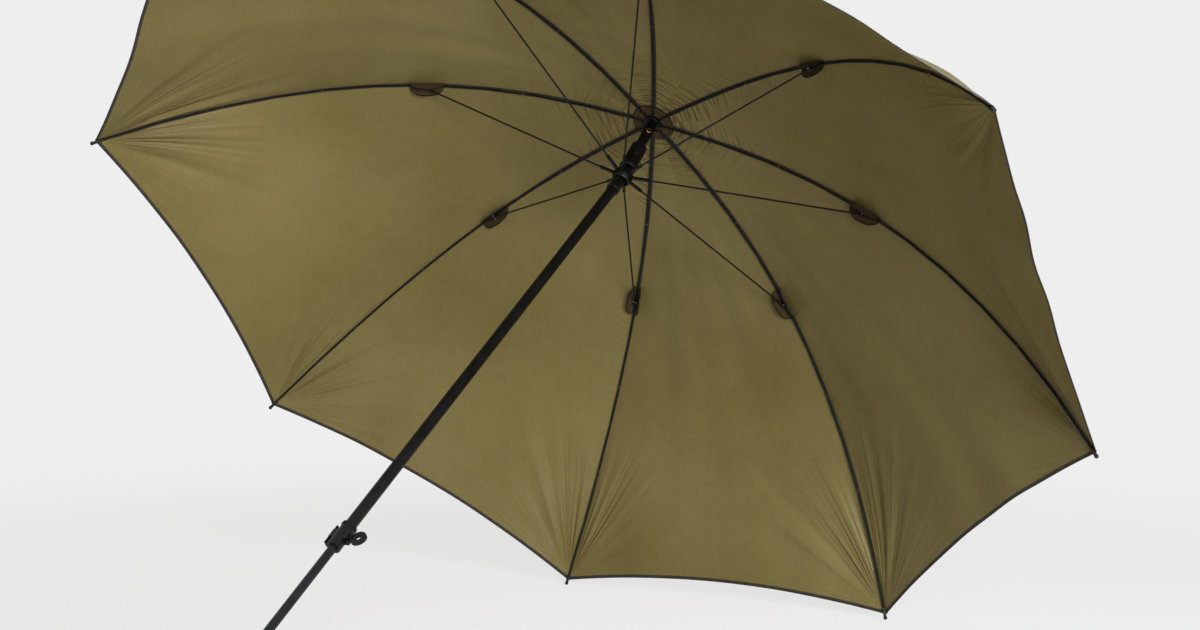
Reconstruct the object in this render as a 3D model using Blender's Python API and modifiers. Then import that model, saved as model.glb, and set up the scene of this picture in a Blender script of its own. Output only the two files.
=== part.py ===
"""Fishing umbrella, opened and leaned over so that two rib tips and the ground
spike stand on the floor.

World frame: metres, +Z up, the floor at z = 0, the origin at the middle of the
footprint. The pole leans in the plane y = 0, from the spike at -X up to the
crown at +X, and the whole frame is symmetric about that plane.

Three kinds of frame carry the parts:
  pole frame   origin at the tilt knuckle, +Z up the pole to the crown
  head frame   same origin, +Z along the canopy's own axis
  rib frames   origin on the crown's hinge wire, +X out along a rib
In the pole and head frames +X is the side that faces the floor.
"""

from math import asin, atan2, cos, hypot, pi, radians, sin, sqrt

import bmesh
import bpy
from mathutils import Matrix, Vector

# Canopy and cloth
RIB_COUNT = 8
TIP_RADIUS = 1.107
CANOPY_DEPTH = 0.522
RIB_CURVE_POWER = 2.45
HEM_SETBACK = 0.015
HEM_SCALLOP = 0.022
CLOTH_SAG = 0.010
CLOTH_THICKNESS = 0.0006
CANOPY_HOLE_RADIUS = 0.0135
PATCH_RADIUS = 0.048
PATCH_THICKNESS = 0.0006

# Ribs, stretchers and the brackets between them
RIB_DIAMETER = 0.005
RIB_TIP_DIAMETER = 0.009
RIB_TIP_SLEEVE_LENGTH = 0.022
RIB_TIP_SLEEVE_DIAMETER = 0.0072
STRETCHER_DIAMETER = 0.004
EYE_THICKNESS = 0.002
BLADE_THICKNESS = 0.0018
BLADE_HEIGHT = 0.0038
EYE_RADIUS = 0.003
RIB_EYE_RADIUS = 0.0024
EYE_REACH = 0.0085
JOINT_RADIUS = 0.512
PIVOT_DROP = 0.0095
BRACKET_LENGTH = 0.026
BRACKET_WALL = 0.0006
BRACKET_EAR_THICKNESS = 0.0012
BRACKET_EAR_LENGTH = 0.009
PIN_DIAMETER = 0.003
PIN_HEAD_DIAMETER = 0.0058
PIN_HEAD_HEIGHT = 0.0009
FOLD_ANGLE = radians(62.5)

# Crown and the head below it
HINGE_CIRCLE_RADIUS = 0.0165
HINGE_WIRE_DIAMETER = 0.0016
CROWN_DIAMETER = 0.042
CROWN_BELOW_WIRE = 0.006
CROWN_ABOVE_WIRE = 0.0026
CROWN_SLOT_WIDTH = 0.0028
CROWN_GROOVE_WIDTH = 0.0022
CAP_DIAMETER = 0.034
CAP_HEIGHT = 0.012
CAP_TOP_DIAMETER = 0.014
NECK_DIAMETER = 0.0225
NECK_BORE = 0.0185
EYELET_DROP = 0.034
EYELET_DIAMETER = 0.0125
EYELET_BORE = 0.0078
EYELET_LIP = 0.0028
FEATURE_AZIMUTH = radians(-135)
HOUSING_TOP_DROP = 0.082
HOUSING_BOTTOM_DROP = 0.150
HOUSING_DIAMETER = 0.035
HOUSING_LIP_DIAMETER = 0.037
HOUSING_LIP_HEIGHT = 0.004
KNUCKLE_DROP = 0.176
TONGUE_WIDTH = 0.010
TONGUE_THICKNESS = 0.009
BUTTON_DROP = 0.112
BUTTON_DIAMETER = 0.012
BUTTON_STAND = 0.0035
BUTTON_DEPTH = 0.006

# Knuckle, runner ball and runner sleeve on the pole
TILT_ANGLE = radians(8.7)
TILT_LIMIT = radians(17.4)
TILT_PIN_DIAMETER = 0.005
FORK_EAR_THICKNESS = 0.0032
BALL_DIAMETER = 0.0456
BALL_FLAT_HEIGHT = 0.014
LUG_REACH = 0.055
LUG_HEIGHT = 0.0062
LUG_EAR_THICKNESS = 0.0014
SLEEVE_BOTTOM_DROP = 0.053
WAIST_DIAMETER = 0.0262
LIP_DIAMETER = 0.029
LIP_HEIGHT = 0.006

# Pole, telescope clamp and ground spike
POLE_LENGTH = 1.771
UPPER_TUBE_DIAMETER = 0.022
UPPER_TUBE_WALL = 0.0012
UPPER_TUBE_START = 0.012
LOWER_TUBE_DIAMETER = 0.016
LOWER_TUBE_WALL = 0.0012
LOWER_TUBE_LENGTH = 0.610
TELESCOPE_OVERLAP = 0.120
FLUTE_DEPTH = 0.0005
FLUTE_COUNT = 12
SPIKE_LENGTH = 0.116
CLAMP_GRIP = 0.037
CLAMP_LENGTH = 0.056
CLAMP_DIAMETER = 0.0265
CLAMP_LIP_DIAMETER = 0.030
CLAMP_LIP_HEIGHT = 0.006
CLAMP_BOSS_WIDTH = 0.018
CLAMP_BOSS_LENGTH = 0.020
CLAMP_BOSS_REACH = 0.019
CLAMP_PLATE_WIDTH = 0.012
CLAMP_PLATE_LENGTH = 0.044
CLAMP_PLATE_THICKNESS = 0.0025
SCREW_DIAMETER = 0.006
LOOP_WIDTH = 0.030
LOOP_LENGTH = 0.030
LOOP_THICKNESS = 0.006
LOOP_HOLE_DIAMETER = 0.012
SPIKE_SHOULDER_DIAMETER = 0.030
SPIKE_SHOULDER_HEIGHT = 0.004
SPIKE_PLUG_LENGTH = 0.030
SPIKE_END_RADIUS = 0.003

# Places along the pole, each counted from the knuckle and set by the pole's length
LOWER_TUBE_END = POLE_LENGTH - SPIKE_LENGTH
LOWER_TUBE_START = LOWER_TUBE_END - LOWER_TUBE_LENGTH
UPPER_TUBE_END = LOWER_TUBE_START + TELESCOPE_OVERLAP
CLAMP_START = UPPER_TUBE_END - CLAMP_GRIP
CLAMP_END = CLAMP_START + CLAMP_LENGTH

# Fits
CLEARANCE = 0.0003
RUNNING_CLEARANCE = 0.0004
CUT_OVERRUN = 0.002

# Finishes: base colour, roughness, metallic
BLACK_ENAMEL = ("#141416", 0.35, 0.3)
BLACK_NYLON = ("#17171A", 0.42, 0.0)
DARK_STEEL = ("#2E2E33", 0.38, 0.6)
BRIGHT_STEEL = ("#B9BBBE", 0.25, 1.0)
BRASS = ("#B8843A", 0.28, 1.0)
OLIVE_CLOTH = ("#6B5E35", 0.85, 0.0)
BROWN_CLOTH = ("#3A2E1C", 0.9, 0.0)

# Shares of a neighbouring size
LUG_ROOT_SHARE = 0.8
BLADE_SHARE = 0.8
EYELET_STAND_SHARE = 0.6
PIN_TOP_SHARE = 1 / 3

ROUND_STEPS = 20
FINE_STEPS = 24

RIB_STEP = 2 * pi / RIB_COUNT
HALF_STEP = RIB_STEP / 2
RIB_RADIUS = RIB_DIAMETER / 2
CLOTH_OFFSET = RIB_RADIUS + PATCH_THICKNESS + CLEARANCE * 3


# Leaned pose: the spike's round end and the two lowest rib tips all touch z = 0.
def pole_elevation():
    """Angle of the pole above the floor, from the sizes of the frame."""
    reach = TIP_RADIUS * cos(HALF_STEP)
    drop = CANOPY_DEPTH - KNUCKLE_DROP
    along = POLE_LENGTH + reach * sin(TILT_ANGLE) - drop * cos(TILT_ANGLE)
    across = -(reach * cos(TILT_ANGLE) + drop * sin(TILT_ANGLE))
    lift = RIB_TIP_DIAMETER / 2 - SPIKE_END_RADIUS
    return asin(lift / hypot(along, across)) - atan2(across, along)


POLE_ELEVATION = pole_elevation()
HEAD_ELEVATION = POLE_ELEVATION + TILT_ANGLE
KNUCKLE_HEIGHT = POLE_LENGTH * sin(POLE_ELEVATION) + SPIKE_END_RADIUS


def rib_drop(radius):
    """How far the rib's centre line lies below the hinge wire."""
    return CANOPY_DEPTH * (radius / TIP_RADIUS) ** RIB_CURVE_POWER


def rib_slope(radius):
    """Downward slope angle of the rib's centre line."""
    share = (radius / TIP_RADIUS) ** (RIB_CURVE_POWER - 1)
    return atan2(CANOPY_DEPTH * RIB_CURVE_POWER * share, TIP_RADIUS)


def far_reach():
    """Greatest horizontal distance of the lowest ribs ahead of the hub."""
    steps = 60
    reaches = []
    for step in range(steps + 1):
        radius = TIP_RADIUS * step / steps
        out = radius * cos(HALF_STEP) * sin(HEAD_ELEVATION)
        reaches.append(out - rib_drop(radius) * cos(HEAD_ELEVATION))
    return max(reaches)


KNUCKLE_TO_SPIKE = POLE_LENGTH * cos(POLE_ELEVATION) + SPIKE_END_RADIUS
KNUCKLE_TO_FRONT = KNUCKLE_DROP * cos(HEAD_ELEVATION) + far_reach()
KNUCKLE_X = (KNUCKLE_TO_SPIKE - KNUCKLE_TO_FRONT) / 2

TIP_SLEEVE_START = TIP_RADIUS - RIB_TIP_SLEEVE_LENGTH * cos(rib_slope(TIP_RADIUS))

# The stretcher's line runs from the bracket pin to the middle of the runner ball.
PIVOT_SLOPE = rib_slope(JOINT_RADIUS)
PIVOT_X = JOINT_RADIUS - PIVOT_DROP * sin(PIVOT_SLOPE)
PIVOT_Z = -rib_drop(JOINT_RADIUS) - PIVOT_DROP * cos(PIVOT_SLOPE)
STRETCHER_RISE = atan2(KNUCKLE_DROP + PIVOT_Z, PIVOT_X)
STRETCHER_LENGTH = hypot(PIVOT_X, KNUCKLE_DROP + PIVOT_Z) - LUG_REACH


def fold_travel():
    """Runner travel and the stretcher's turn on its rib for a full fold."""
    start = Vector((PIVOT_X - HINGE_CIRCLE_RADIUS, PIVOT_Z))
    turned = Matrix.Rotation(-FOLD_ANGLE, 2) @ start
    end_x = LUG_REACH * cos(STRETCHER_RISE)
    end_z = -KNUCKLE_DROP + LUG_REACH * sin(STRETCHER_RISE)
    across = HINGE_CIRCLE_RADIUS + turned.x - end_x
    down = sqrt(STRETCHER_LENGTH ** 2 - across ** 2)
    travel = end_z - (turned.y - down)
    steepness = atan2(down, across)
    turn = FOLD_ANGLE + steepness - STRETCHER_RISE
    return travel, turn


# Scene tools
def clear_scene():
    for obj in list(bpy.data.objects):
        bpy.data.objects.remove(obj, do_unlink=True)


def new_collection(name):
    collection = bpy.data.collections.new(name)
    bpy.context.scene.collection.children.link(collection)
    return collection


def link(obj, collection):
    for other in list(obj.users_collection):
        other.objects.unlink(obj)
    collection.objects.link(obj)


def linear(channel):
    if channel <= 0.04045:
        return channel / 12.92
    return ((channel + 0.055) / 1.055) ** 2.4


def finish(name, look):
    """Principled material from a colour, a roughness and a metallic value."""
    code, roughness, metallic = look
    material = bpy.data.materials.new(name)
    material.use_nodes = True
    shader = material.node_tree.nodes["Principled BSDF"]
    channels = [linear(int(code[i:i + 2], 16) / 255) for i in (1, 3, 5)]
    shader.inputs["Base Color"].default_value = (*channels, 1)
    shader.inputs["Roughness"].default_value = roughness
    shader.inputs["Metallic"].default_value = metallic
    return material


def new_object(name, data):
    obj = bpy.data.objects.new(name, data)
    bpy.context.scene.collection.objects.link(obj)
    return obj


def box(name, size, centre):
    """Box of the given size about a centre point."""
    mesh = bpy.data.meshes.new(name)
    bm = bmesh.new()
    bmesh.ops.create_cube(bm, size=1)
    bmesh.ops.scale(bm, vec=size, verts=bm.verts)
    bmesh.ops.translate(bm, vec=centre, verts=bm.verts)
    bm.to_mesh(mesh)
    bm.free()
    return new_object(name, mesh)


def rod(name, radius, start, end, steps=ROUND_STEPS, end_radius=None):
    """Round bar, or a cone, between two points."""
    start, end = Vector(start), Vector(end)
    far = radius if end_radius is None else end_radius
    mesh = bpy.data.meshes.new(name)
    bm = bmesh.new()
    bmesh.ops.create_cone(
        bm, cap_ends=True, segments=steps, radius1=radius, radius2=far,
        depth=(end - start).length)
    turn = (end - start).to_track_quat("Z", "Y").to_matrix().to_4x4()
    place = Matrix.Translation((start + end) / 2) @ turn
    bmesh.ops.transform(bm, matrix=place, verts=bm.verts)
    bm.to_mesh(mesh)
    bm.free()
    return new_object(name, mesh)


def ball(name, radius, centre, across=ROUND_STEPS, down=12):
    mesh = bpy.data.meshes.new(name)
    bm = bmesh.new()
    bmesh.ops.create_uvsphere(bm, u_segments=across, v_segments=down, radius=radius)
    bmesh.ops.translate(bm, vec=centre, verts=bm.verts)
    bm.to_mesh(mesh)
    bm.free()
    return new_object(name, mesh)


def turned(name, profile, steps=ROUND_STEPS, closed=False):
    """Revolved shape: (radius, z) points down the outer side, round +Z."""
    mesh = bpy.data.meshes.new(name)
    points = [(radius, 0, z) for radius, z in profile]
    edges = [(i, i + 1) for i in range(len(points) - 1)]
    if closed:
        edges.append((len(points) - 1, 0))
    mesh.from_pydata(points, edges, [])
    obj = new_object(name, mesh)
    screw = obj.modifiers.new("Turn", "SCREW")
    screw.axis = "Z"
    screw.steps = steps
    screw.render_steps = steps
    screw.use_merge_vertices = True
    screw.merge_threshold = 0.00001
    screw.use_smooth_shade = True
    return obj


def wire(name, points, radius, cyclic=False):
    """Round bar along a run of points."""
    curve = bpy.data.curves.new(name, "CURVE")
    curve.dimensions = "3D"
    curve.bevel_depth = radius
    curve.bevel_resolution = 2
    curve.use_fill_caps = True
    spline = curve.splines.new("POLY")
    spline.points.add(len(points) - 1)
    for point, place in zip(spline.points, points):
        point.co = (*place, 1)
    spline.use_cyclic_u = cyclic
    return new_object(name, curve)


def baked(obj, name=None):
    """Plain mesh object from a curve or a modified object."""
    bpy.context.view_layer.update()
    graph = bpy.context.evaluated_depsgraph_get()
    mesh = bpy.data.meshes.new_from_object(obj.evaluated_get(graph))
    bm = bmesh.new()
    bm.from_mesh(mesh)
    bmesh.ops.remove_doubles(bm, verts=bm.verts, dist=0.000001)
    bmesh.ops.recalc_face_normals(bm, faces=bm.faces)
    bm.to_mesh(mesh)
    bm.free()
    result = new_object(name or obj.name, mesh)
    result.matrix_world = obj.matrix_world.copy()
    label = obj.name
    bpy.data.objects.remove(obj, do_unlink=True)
    result.name = name or label
    return result


def combine(obj, others, operation):
    """Boolean with each helper in turn, then one plain mesh again."""
    for other in others:
        step = obj.modifiers.new("Combine", "BOOLEAN")
        step.operation = operation
        step.object = other
        step.solver = "EXACT"
    result = baked(obj)
    for other in others:
        bpy.data.objects.remove(other, do_unlink=True)
    return result


def smooth(obj, angle=radians(40)):
    obj.data.shade_smooth()
    obj.data.set_sharp_from_angle(angle=angle)


def place(obj, parent, material, location=(0, 0, 0), rotation=(0, 0, 0)):
    """Set a finished sub-part on its frame and give it its material."""
    obj.parent = parent
    obj.matrix_parent_inverse = Matrix.Identity(4)
    obj.location = location
    obj.rotation_euler = rotation
    obj.data.materials.clear()
    obj.data.materials.append(material)
    link(obj, PART)
    return obj


def frame(name, parent=None, location=(0, 0, 0), rotation=(0, 0, 0)):
    """Empty that carries the pieces on one joint axis."""
    empty = new_object(name, None)
    empty.parent = parent
    empty.location = location
    empty.rotation_euler = rotation
    empty.empty_display_size = RIB_TIP_DIAMETER
    link(empty, PART)
    return empty


# Ribs
def spread(start, end, count):
    """Evenly spaced values after the start, up to the end."""
    return [start + (end - start) * step / count for step in range(1, count + 1)]


def rib_stations():
    """Radii where the ribs and the cloth over them bend, straight at the brackets."""
    start = HINGE_CIRCLE_RADIUS + EYE_REACH
    half = BRACKET_LENGTH / 2
    stations = [start, PATCH_RADIUS]
    stations += spread(PATCH_RADIUS, JOINT_RADIUS - half, 4)
    stations.append(JOINT_RADIUS + half)
    stations += spread(JOINT_RADIUS + half, TIP_SLEEVE_START, 6)
    return stations


def make_rib():
    """Bent steel bar with a flattened eye that hangs on the hinge wire."""
    stations = rib_stations() + [(TIP_SLEEVE_START + TIP_RADIUS) / 2]
    points = [(radius - HINGE_CIRCLE_RADIUS, 0, -rib_drop(radius)) for radius in stations]
    bar = baked(wire("rib_bar", points, RIB_RADIUS))
    blade = box("rib_blade", (EYE_REACH + EYE_RADIUS, BLADE_THICKNESS, BLADE_HEIGHT),
                ((EYE_REACH + EYE_RADIUS) / 2, 0, 0))
    half = EYE_THICKNESS / 2
    eye = rod("rib_eye", RIB_EYE_RADIUS, (0, -half, 0), (0, half, 0), 12)
    rib = combine(bar, [blade, eye], "UNION")
    hole = HINGE_WIRE_DIAMETER / 2 + RUNNING_CLEARANCE
    bore = rod("rib_bore", hole, (0, -EYE_THICKNESS, 0), (0, EYE_THICKNESS, 0), 10)
    return combine(rib, [bore], "DIFFERENCE")


def make_rib_tip():
    """Nylon cap on a rib's end: a short sleeve and a round nose."""
    fall = CANOPY_DEPTH - rib_drop(TIP_SLEEVE_START)
    back = Vector((TIP_SLEEVE_START - TIP_RADIUS, 0, fall))
    nose = ball("tip", RIB_TIP_DIAMETER / 2, (0, 0, 0), 10, 6)
    sleeve = rod("tip_sleeve", RIB_TIP_SLEEVE_DIAMETER / 2, (0, 0, 0), back, 10)
    tip = combine(nose, [sleeve], "UNION")
    depth = back / 2 - back.normalized() * CLEARANCE
    socket = rod("tip_socket", RIB_RADIUS + CLEARANCE, depth, back * 2, 8)
    return combine(tip, [socket], "DIFFERENCE")


def make_bracket():
    """Steel clip crimped on the rib, two ears and a headed pin below it."""
    inner = RIB_RADIUS + CLEARANCE
    outer = inner + BRACKET_WALL
    half = BRACKET_LENGTH / 2
    clip = rod("clip", outer, (-half, 0, 0), (half, 0, 0), 10)
    gap = EYE_THICKNESS / 2 + CLEARANCE
    middle = gap + BRACKET_EAR_THICKNESS / 2
    ear_radius = BRACKET_EAR_LENGTH / 2
    ears = []
    for side in (-1, 1):
        near = side * gap
        far = side * (gap + BRACKET_EAR_THICKNESS)
        ears.append(rod("ear_end", ear_radius, (0, near, -PIVOT_DROP),
                        (0, far, -PIVOT_DROP), 10))
        ears.append(box("ear", (BRACKET_EAR_LENGTH, BRACKET_EAR_THICKNESS, PIVOT_DROP),
                        (0, side * middle, -PIVOT_DROP / 2)))
    reach = gap + BRACKET_EAR_THICKNESS + PIN_HEAD_HEIGHT
    shoulder = gap + BRACKET_EAR_THICKNESS
    pin = rod("pin", PIN_DIAMETER / 2, (0, -shoulder, -PIVOT_DROP),
              (0, shoulder, -PIVOT_DROP), 8)
    heads = []
    for side in (-1, 1):
        heads.append(rod("head", PIN_HEAD_DIAMETER / 2,
                         (0, side * (shoulder - CLEARANCE), -PIVOT_DROP),
                         (0, side * reach, -PIVOT_DROP), 8,
                         PIN_HEAD_DIAMETER * PIN_TOP_SHARE))
    bracket = combine(clip, ears + [pin] + heads, "UNION")
    bore = rod("clip_bore", inner, (-half * 2, 0, 0), (half * 2, 0, 0), 10)
    return combine(bracket, [bore], "DIFFERENCE")


def make_stretcher():
    """Strut along +X from the bracket pin: an eye at each end."""
    half = EYE_THICKNESS / 2
    bar = rod("strut", STRETCHER_DIAMETER / 2, (EYE_REACH, 0, 0),
              (STRETCHER_LENGTH - EYE_REACH, 0, 0), 8)
    extras = []
    for middle, sign in ((0, 1), (STRETCHER_LENGTH, -1)):
        extras.append(rod("eye", EYE_RADIUS, (middle, -half, 0), (middle, half, 0), 12))
        extras.append(box("blade", (EYE_REACH + EYE_RADIUS, BLADE_THICKNESS, BLADE_HEIGHT * BLADE_SHARE),
                          (middle + sign * (EYE_REACH + EYE_RADIUS) / 2, 0, 0)))
    strut = combine(bar, extras, "UNION")
    hole = PIN_DIAMETER / 2 + CLEARANCE
    bores = [rod("bore", hole, (middle, -EYE_THICKNESS, 0), (middle, EYE_THICKNESS, 0), 8)
             for middle in (0, STRETCHER_LENGTH)]
    return combine(strut, bores, "DIFFERENCE")


def make_panel():
    """Cloth over one rib, out to the middle of the panel on each side."""
    hem = TIP_RADIUS - HEM_SETBACK * cos(rib_slope(TIP_RADIUS))
    stations = [CANOPY_HOLE_RADIUS] + rib_stations() + [hem]
    rows, columns = len(stations) - 1, 2
    mesh = bpy.data.meshes.new("panel")
    bm = bmesh.new()
    bmesh.ops.create_grid(bm, x_segments=rows, y_segments=columns, size=0.5)
    for vert in bm.verts:
        station = stations[round((vert.co.x + 0.5) * rows)]
        down = (station - CANOPY_HOLE_RADIUS) / (hem - CANOPY_HOLE_RADIUS)
        aside = vert.co.y + 0.5
        bow = aside * (2 - aside)
        rim = hem - HEM_SCALLOP * bow
        radius = CANOPY_HOLE_RADIUS + (rim - CANOPY_HOLE_RADIUS) * down
        inward = aside * radius * sin(HALF_STEP) ** 2
        across = aside * radius * sin(HALF_STEP) * cos(HALF_STEP)
        across -= aside * CLEARANCE / 2
        sag = CLOTH_SAG * bow * sin(pi * down ** 2)
        slope = rib_slope(radius)
        vert.co.x = radius - inward - HINGE_CIRCLE_RADIUS + CLOTH_OFFSET * sin(slope)
        vert.co.y = across
        vert.co.z = -rib_drop(radius) - sag + CLOTH_OFFSET * cos(slope)
    bmesh.ops.recalc_face_normals(bm, faces=bm.faces)
    if sum(face.normal.z for face in bm.faces) < 0:
        bmesh.ops.reverse_faces(bm, faces=bm.faces)
    bm.to_mesh(mesh)
    bm.free()
    panel = new_object("panel", mesh)
    mirror = panel.modifiers.new("Other side", "MIRROR")
    mirror.use_axis = (False, True, False)
    mirror.merge_threshold = 0.0001
    shell = panel.modifiers.new("Cloth", "SOLIDIFY")
    shell.thickness = CLOTH_THICKNESS
    shell.offset = 1
    return baked(panel)


def add_ribs(hub, finishes):
    """Eight ribs, each with its bracket, stretcher, tip and cloth panel."""
    rib = make_rib()
    tip = make_rib_tip()
    bracket = make_bracket()
    stretcher = make_stretcher()
    panel = make_panel()
    for source in (rib, tip, bracket, stretcher, panel):
        smooth(source)
    joint_x = JOINT_RADIUS - HINGE_CIRCLE_RADIUS
    for index in range(RIB_COUNT):
        number = index + 1
        azimuth = HALF_STEP + RIB_STEP * index
        spot = (HINGE_CIRCLE_RADIUS * cos(azimuth), HINGE_CIRCLE_RADIUS * sin(azimuth), 0)
        hinge = frame(f"rib_hinge_{number}", hub, spot, (0, 0, azimuth))
        pivot = frame(f"stretcher_hinge_{number}", hinge,
                      (PIVOT_X - HINGE_CIRCLE_RADIUS, 0, PIVOT_Z))
        pieces = (
            ("rib", rib, "rib_enamel", (0, 0, 0), (0, 0, 0), hinge),
            ("rib_tip", tip, "tip_nylon",
             (TIP_RADIUS - HINGE_CIRCLE_RADIUS, 0, -CANOPY_DEPTH), (0, 0, 0), hinge),
            ("rib_bracket", bracket, "bracket_enamel",
             (joint_x, 0, -rib_drop(JOINT_RADIUS)), (0, PIVOT_SLOPE, 0), hinge),
            ("stretcher", stretcher, "stretcher_enamel",
             (0, 0, 0), (0, pi - STRETCHER_RISE, 0), pivot),
            ("canopy_panel", panel, "canopy_cloth", (0, 0, 0), (0, 0, 0), hinge),
        )
        for label, source, look, spot, turn, parent in pieces:
            copy = new_object(f"{label}_{number}", source.data)
            place(copy, parent, finishes[look], spot, turn)
    for source in (rib, tip, bracket, stretcher, panel):
        bpy.data.objects.remove(source, do_unlink=True)


# Crown and head
def add_crown(hub, finishes):
    """Notched crown: one slot a rib, and a groove for the wire they hang on."""
    outer = CROWN_DIAMETER / 2
    inner = NECK_DIAMETER / 2 + CLEARANCE
    soft = CLEARANCE * 3
    crown = baked(turned("crown", [
        (outer - soft, CROWN_ABOVE_WIRE), (outer, CROWN_ABOVE_WIRE - soft),
        (outer, soft - CROWN_BELOW_WIRE), (outer - soft, -CROWN_BELOW_WIRE),
        (inner, -CROWN_BELOW_WIRE), (inner, CROWN_ABOVE_WIRE)], FINE_STEPS, True))
    slot_start = HINGE_CIRCLE_RADIUS - RIB_EYE_RADIUS - RUNNING_CLEARANCE
    slot_end = outer + CUT_OVERRUN
    height = (CROWN_BELOW_WIRE + CROWN_ABOVE_WIRE) + CUT_OVERRUN * 2
    slots = []
    for index in range(RIB_COUNT):
        azimuth = HALF_STEP + RIB_STEP * index
        slot = box("slot", (slot_end - slot_start, CROWN_SLOT_WIDTH, height),
                   ((slot_end + slot_start) / 2, 0, (CROWN_ABOVE_WIRE - CROWN_BELOW_WIRE) / 2))
        slot.data.transform(Matrix.Rotation(azimuth, 4, "Z"))
        slots.append(slot)
    half = CROWN_GROOVE_WIDTH / 2
    roof = HINGE_WIRE_DIAMETER / 2 + CLEARANCE
    floor = -CROWN_BELOW_WIRE - CUT_OVERRUN
    groove = baked(turned("groove", [
        (HINGE_CIRCLE_RADIUS + half, roof), (HINGE_CIRCLE_RADIUS + half, floor),
        (HINGE_CIRCLE_RADIUS - half, floor), (HINGE_CIRCLE_RADIUS - half, roof)],
        FINE_STEPS, True))
    crown = combine(crown, slots + [groove], "DIFFERENCE")
    smooth(crown)
    place(crown, hub, finishes["crown_nylon"])
    steps = 32
    ring = [(HINGE_CIRCLE_RADIUS * cos(2 * pi * i / steps),
             HINGE_CIRCLE_RADIUS * sin(2 * pi * i / steps), 0) for i in range(steps)]
    loop = baked(wire("hinge_wire", ring, HINGE_WIRE_DIAMETER / 2, True))
    smooth(loop)
    place(loop, hub, finishes["hinge_wire_steel"])


def add_top(hub, finishes):
    """Cloth patch under the panels and the screwed cap above them."""
    bore = NECK_DIAMETER / 2 + CLEARANCE
    low = CROWN_ABOVE_WIRE + CLEARANCE
    rim_low = low - rib_drop(PATCH_RADIUS)
    patch = turned("crown_patch", [
        (PATCH_RADIUS, rim_low + PATCH_THICKNESS), (PATCH_RADIUS, rim_low),
        (bore, low), (bore, low + PATCH_THICKNESS)], ROUND_STEPS, True)
    place(patch, hub, finishes["patch_cloth"])
    base = CLOTH_OFFSET + CLOTH_THICKNESS + CLEARANCE
    top = base + CAP_HEIGHT
    rim = CAP_DIAMETER / 2
    flat = CAP_TOP_DIAMETER / 2
    crown_of_cap = [(0, top), (flat, top)]
    steps = 5
    for step in range(1, steps + 1):
        angle = pi / 2 * step / steps
        crown_of_cap.append((flat + (rim - flat) * sin(angle),
                             base + CLOTH_THICKNESS * 3
                             + (CAP_HEIGHT - CLOTH_THICKNESS * 3) * cos(angle)))
    cap = turned("top_cap", crown_of_cap + [(rim, base), (bore, base), (bore, base + CUT_OVERRUN),
                                            (0, base + CUT_OVERRUN)], FINE_STEPS)
    place(cap, hub, finishes["cap_nylon"])


def add_neck(hub, finishes):
    """Neck tube with a brass eyelet through its wall."""
    outer, inner = NECK_DIAMETER / 2, NECK_BORE / 2
    top = CLOTH_OFFSET + CLOTH_THICKNESS + CUT_OVERRUN
    low = -HOUSING_TOP_DROP + CLEARANCE
    neck = baked(turned("neck_tube", [(outer, top), (outer, low), (inner, low), (inner, top)],
                        ROUND_STEPS, True))
    out = Vector((cos(FEATURE_AZIMUTH), sin(FEATURE_AZIMUTH), 0))
    centre = Vector((0, 0, -EYELET_DROP))
    hole = rod("hole", EYELET_BORE / 2 + EYELET_LIP / 2 + CLEARANCE, centre + out * inner / 2,
               centre + out * (outer + CUT_OVERRUN))
    neck = combine(neck, [hole], "DIFFERENCE")
    smooth(neck)
    place(neck, hub, finishes["neck_enamel"])
    seat = outer + CLEARANCE
    lip = seat + EYELET_LIP * EYELET_STAND_SHARE
    rim, bore = EYELET_DIAMETER / 2, EYELET_BORE / 2
    barrel = bore + EYELET_LIP / 2
    start = inner + CLEARANCE
    profile = [(rim - CLEARANCE * 2, lip), (rim, lip - CLEARANCE * 2), (rim, seat),
               (barrel, seat), (barrel, start), (bore, start), (bore, lip)]
    eyelet = turned("neck_eyelet", profile, ROUND_STEPS, True)
    place(eyelet, hub, finishes["eyelet_brass"], centre, (0, pi / 2, FEATURE_AZIMUTH))


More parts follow.
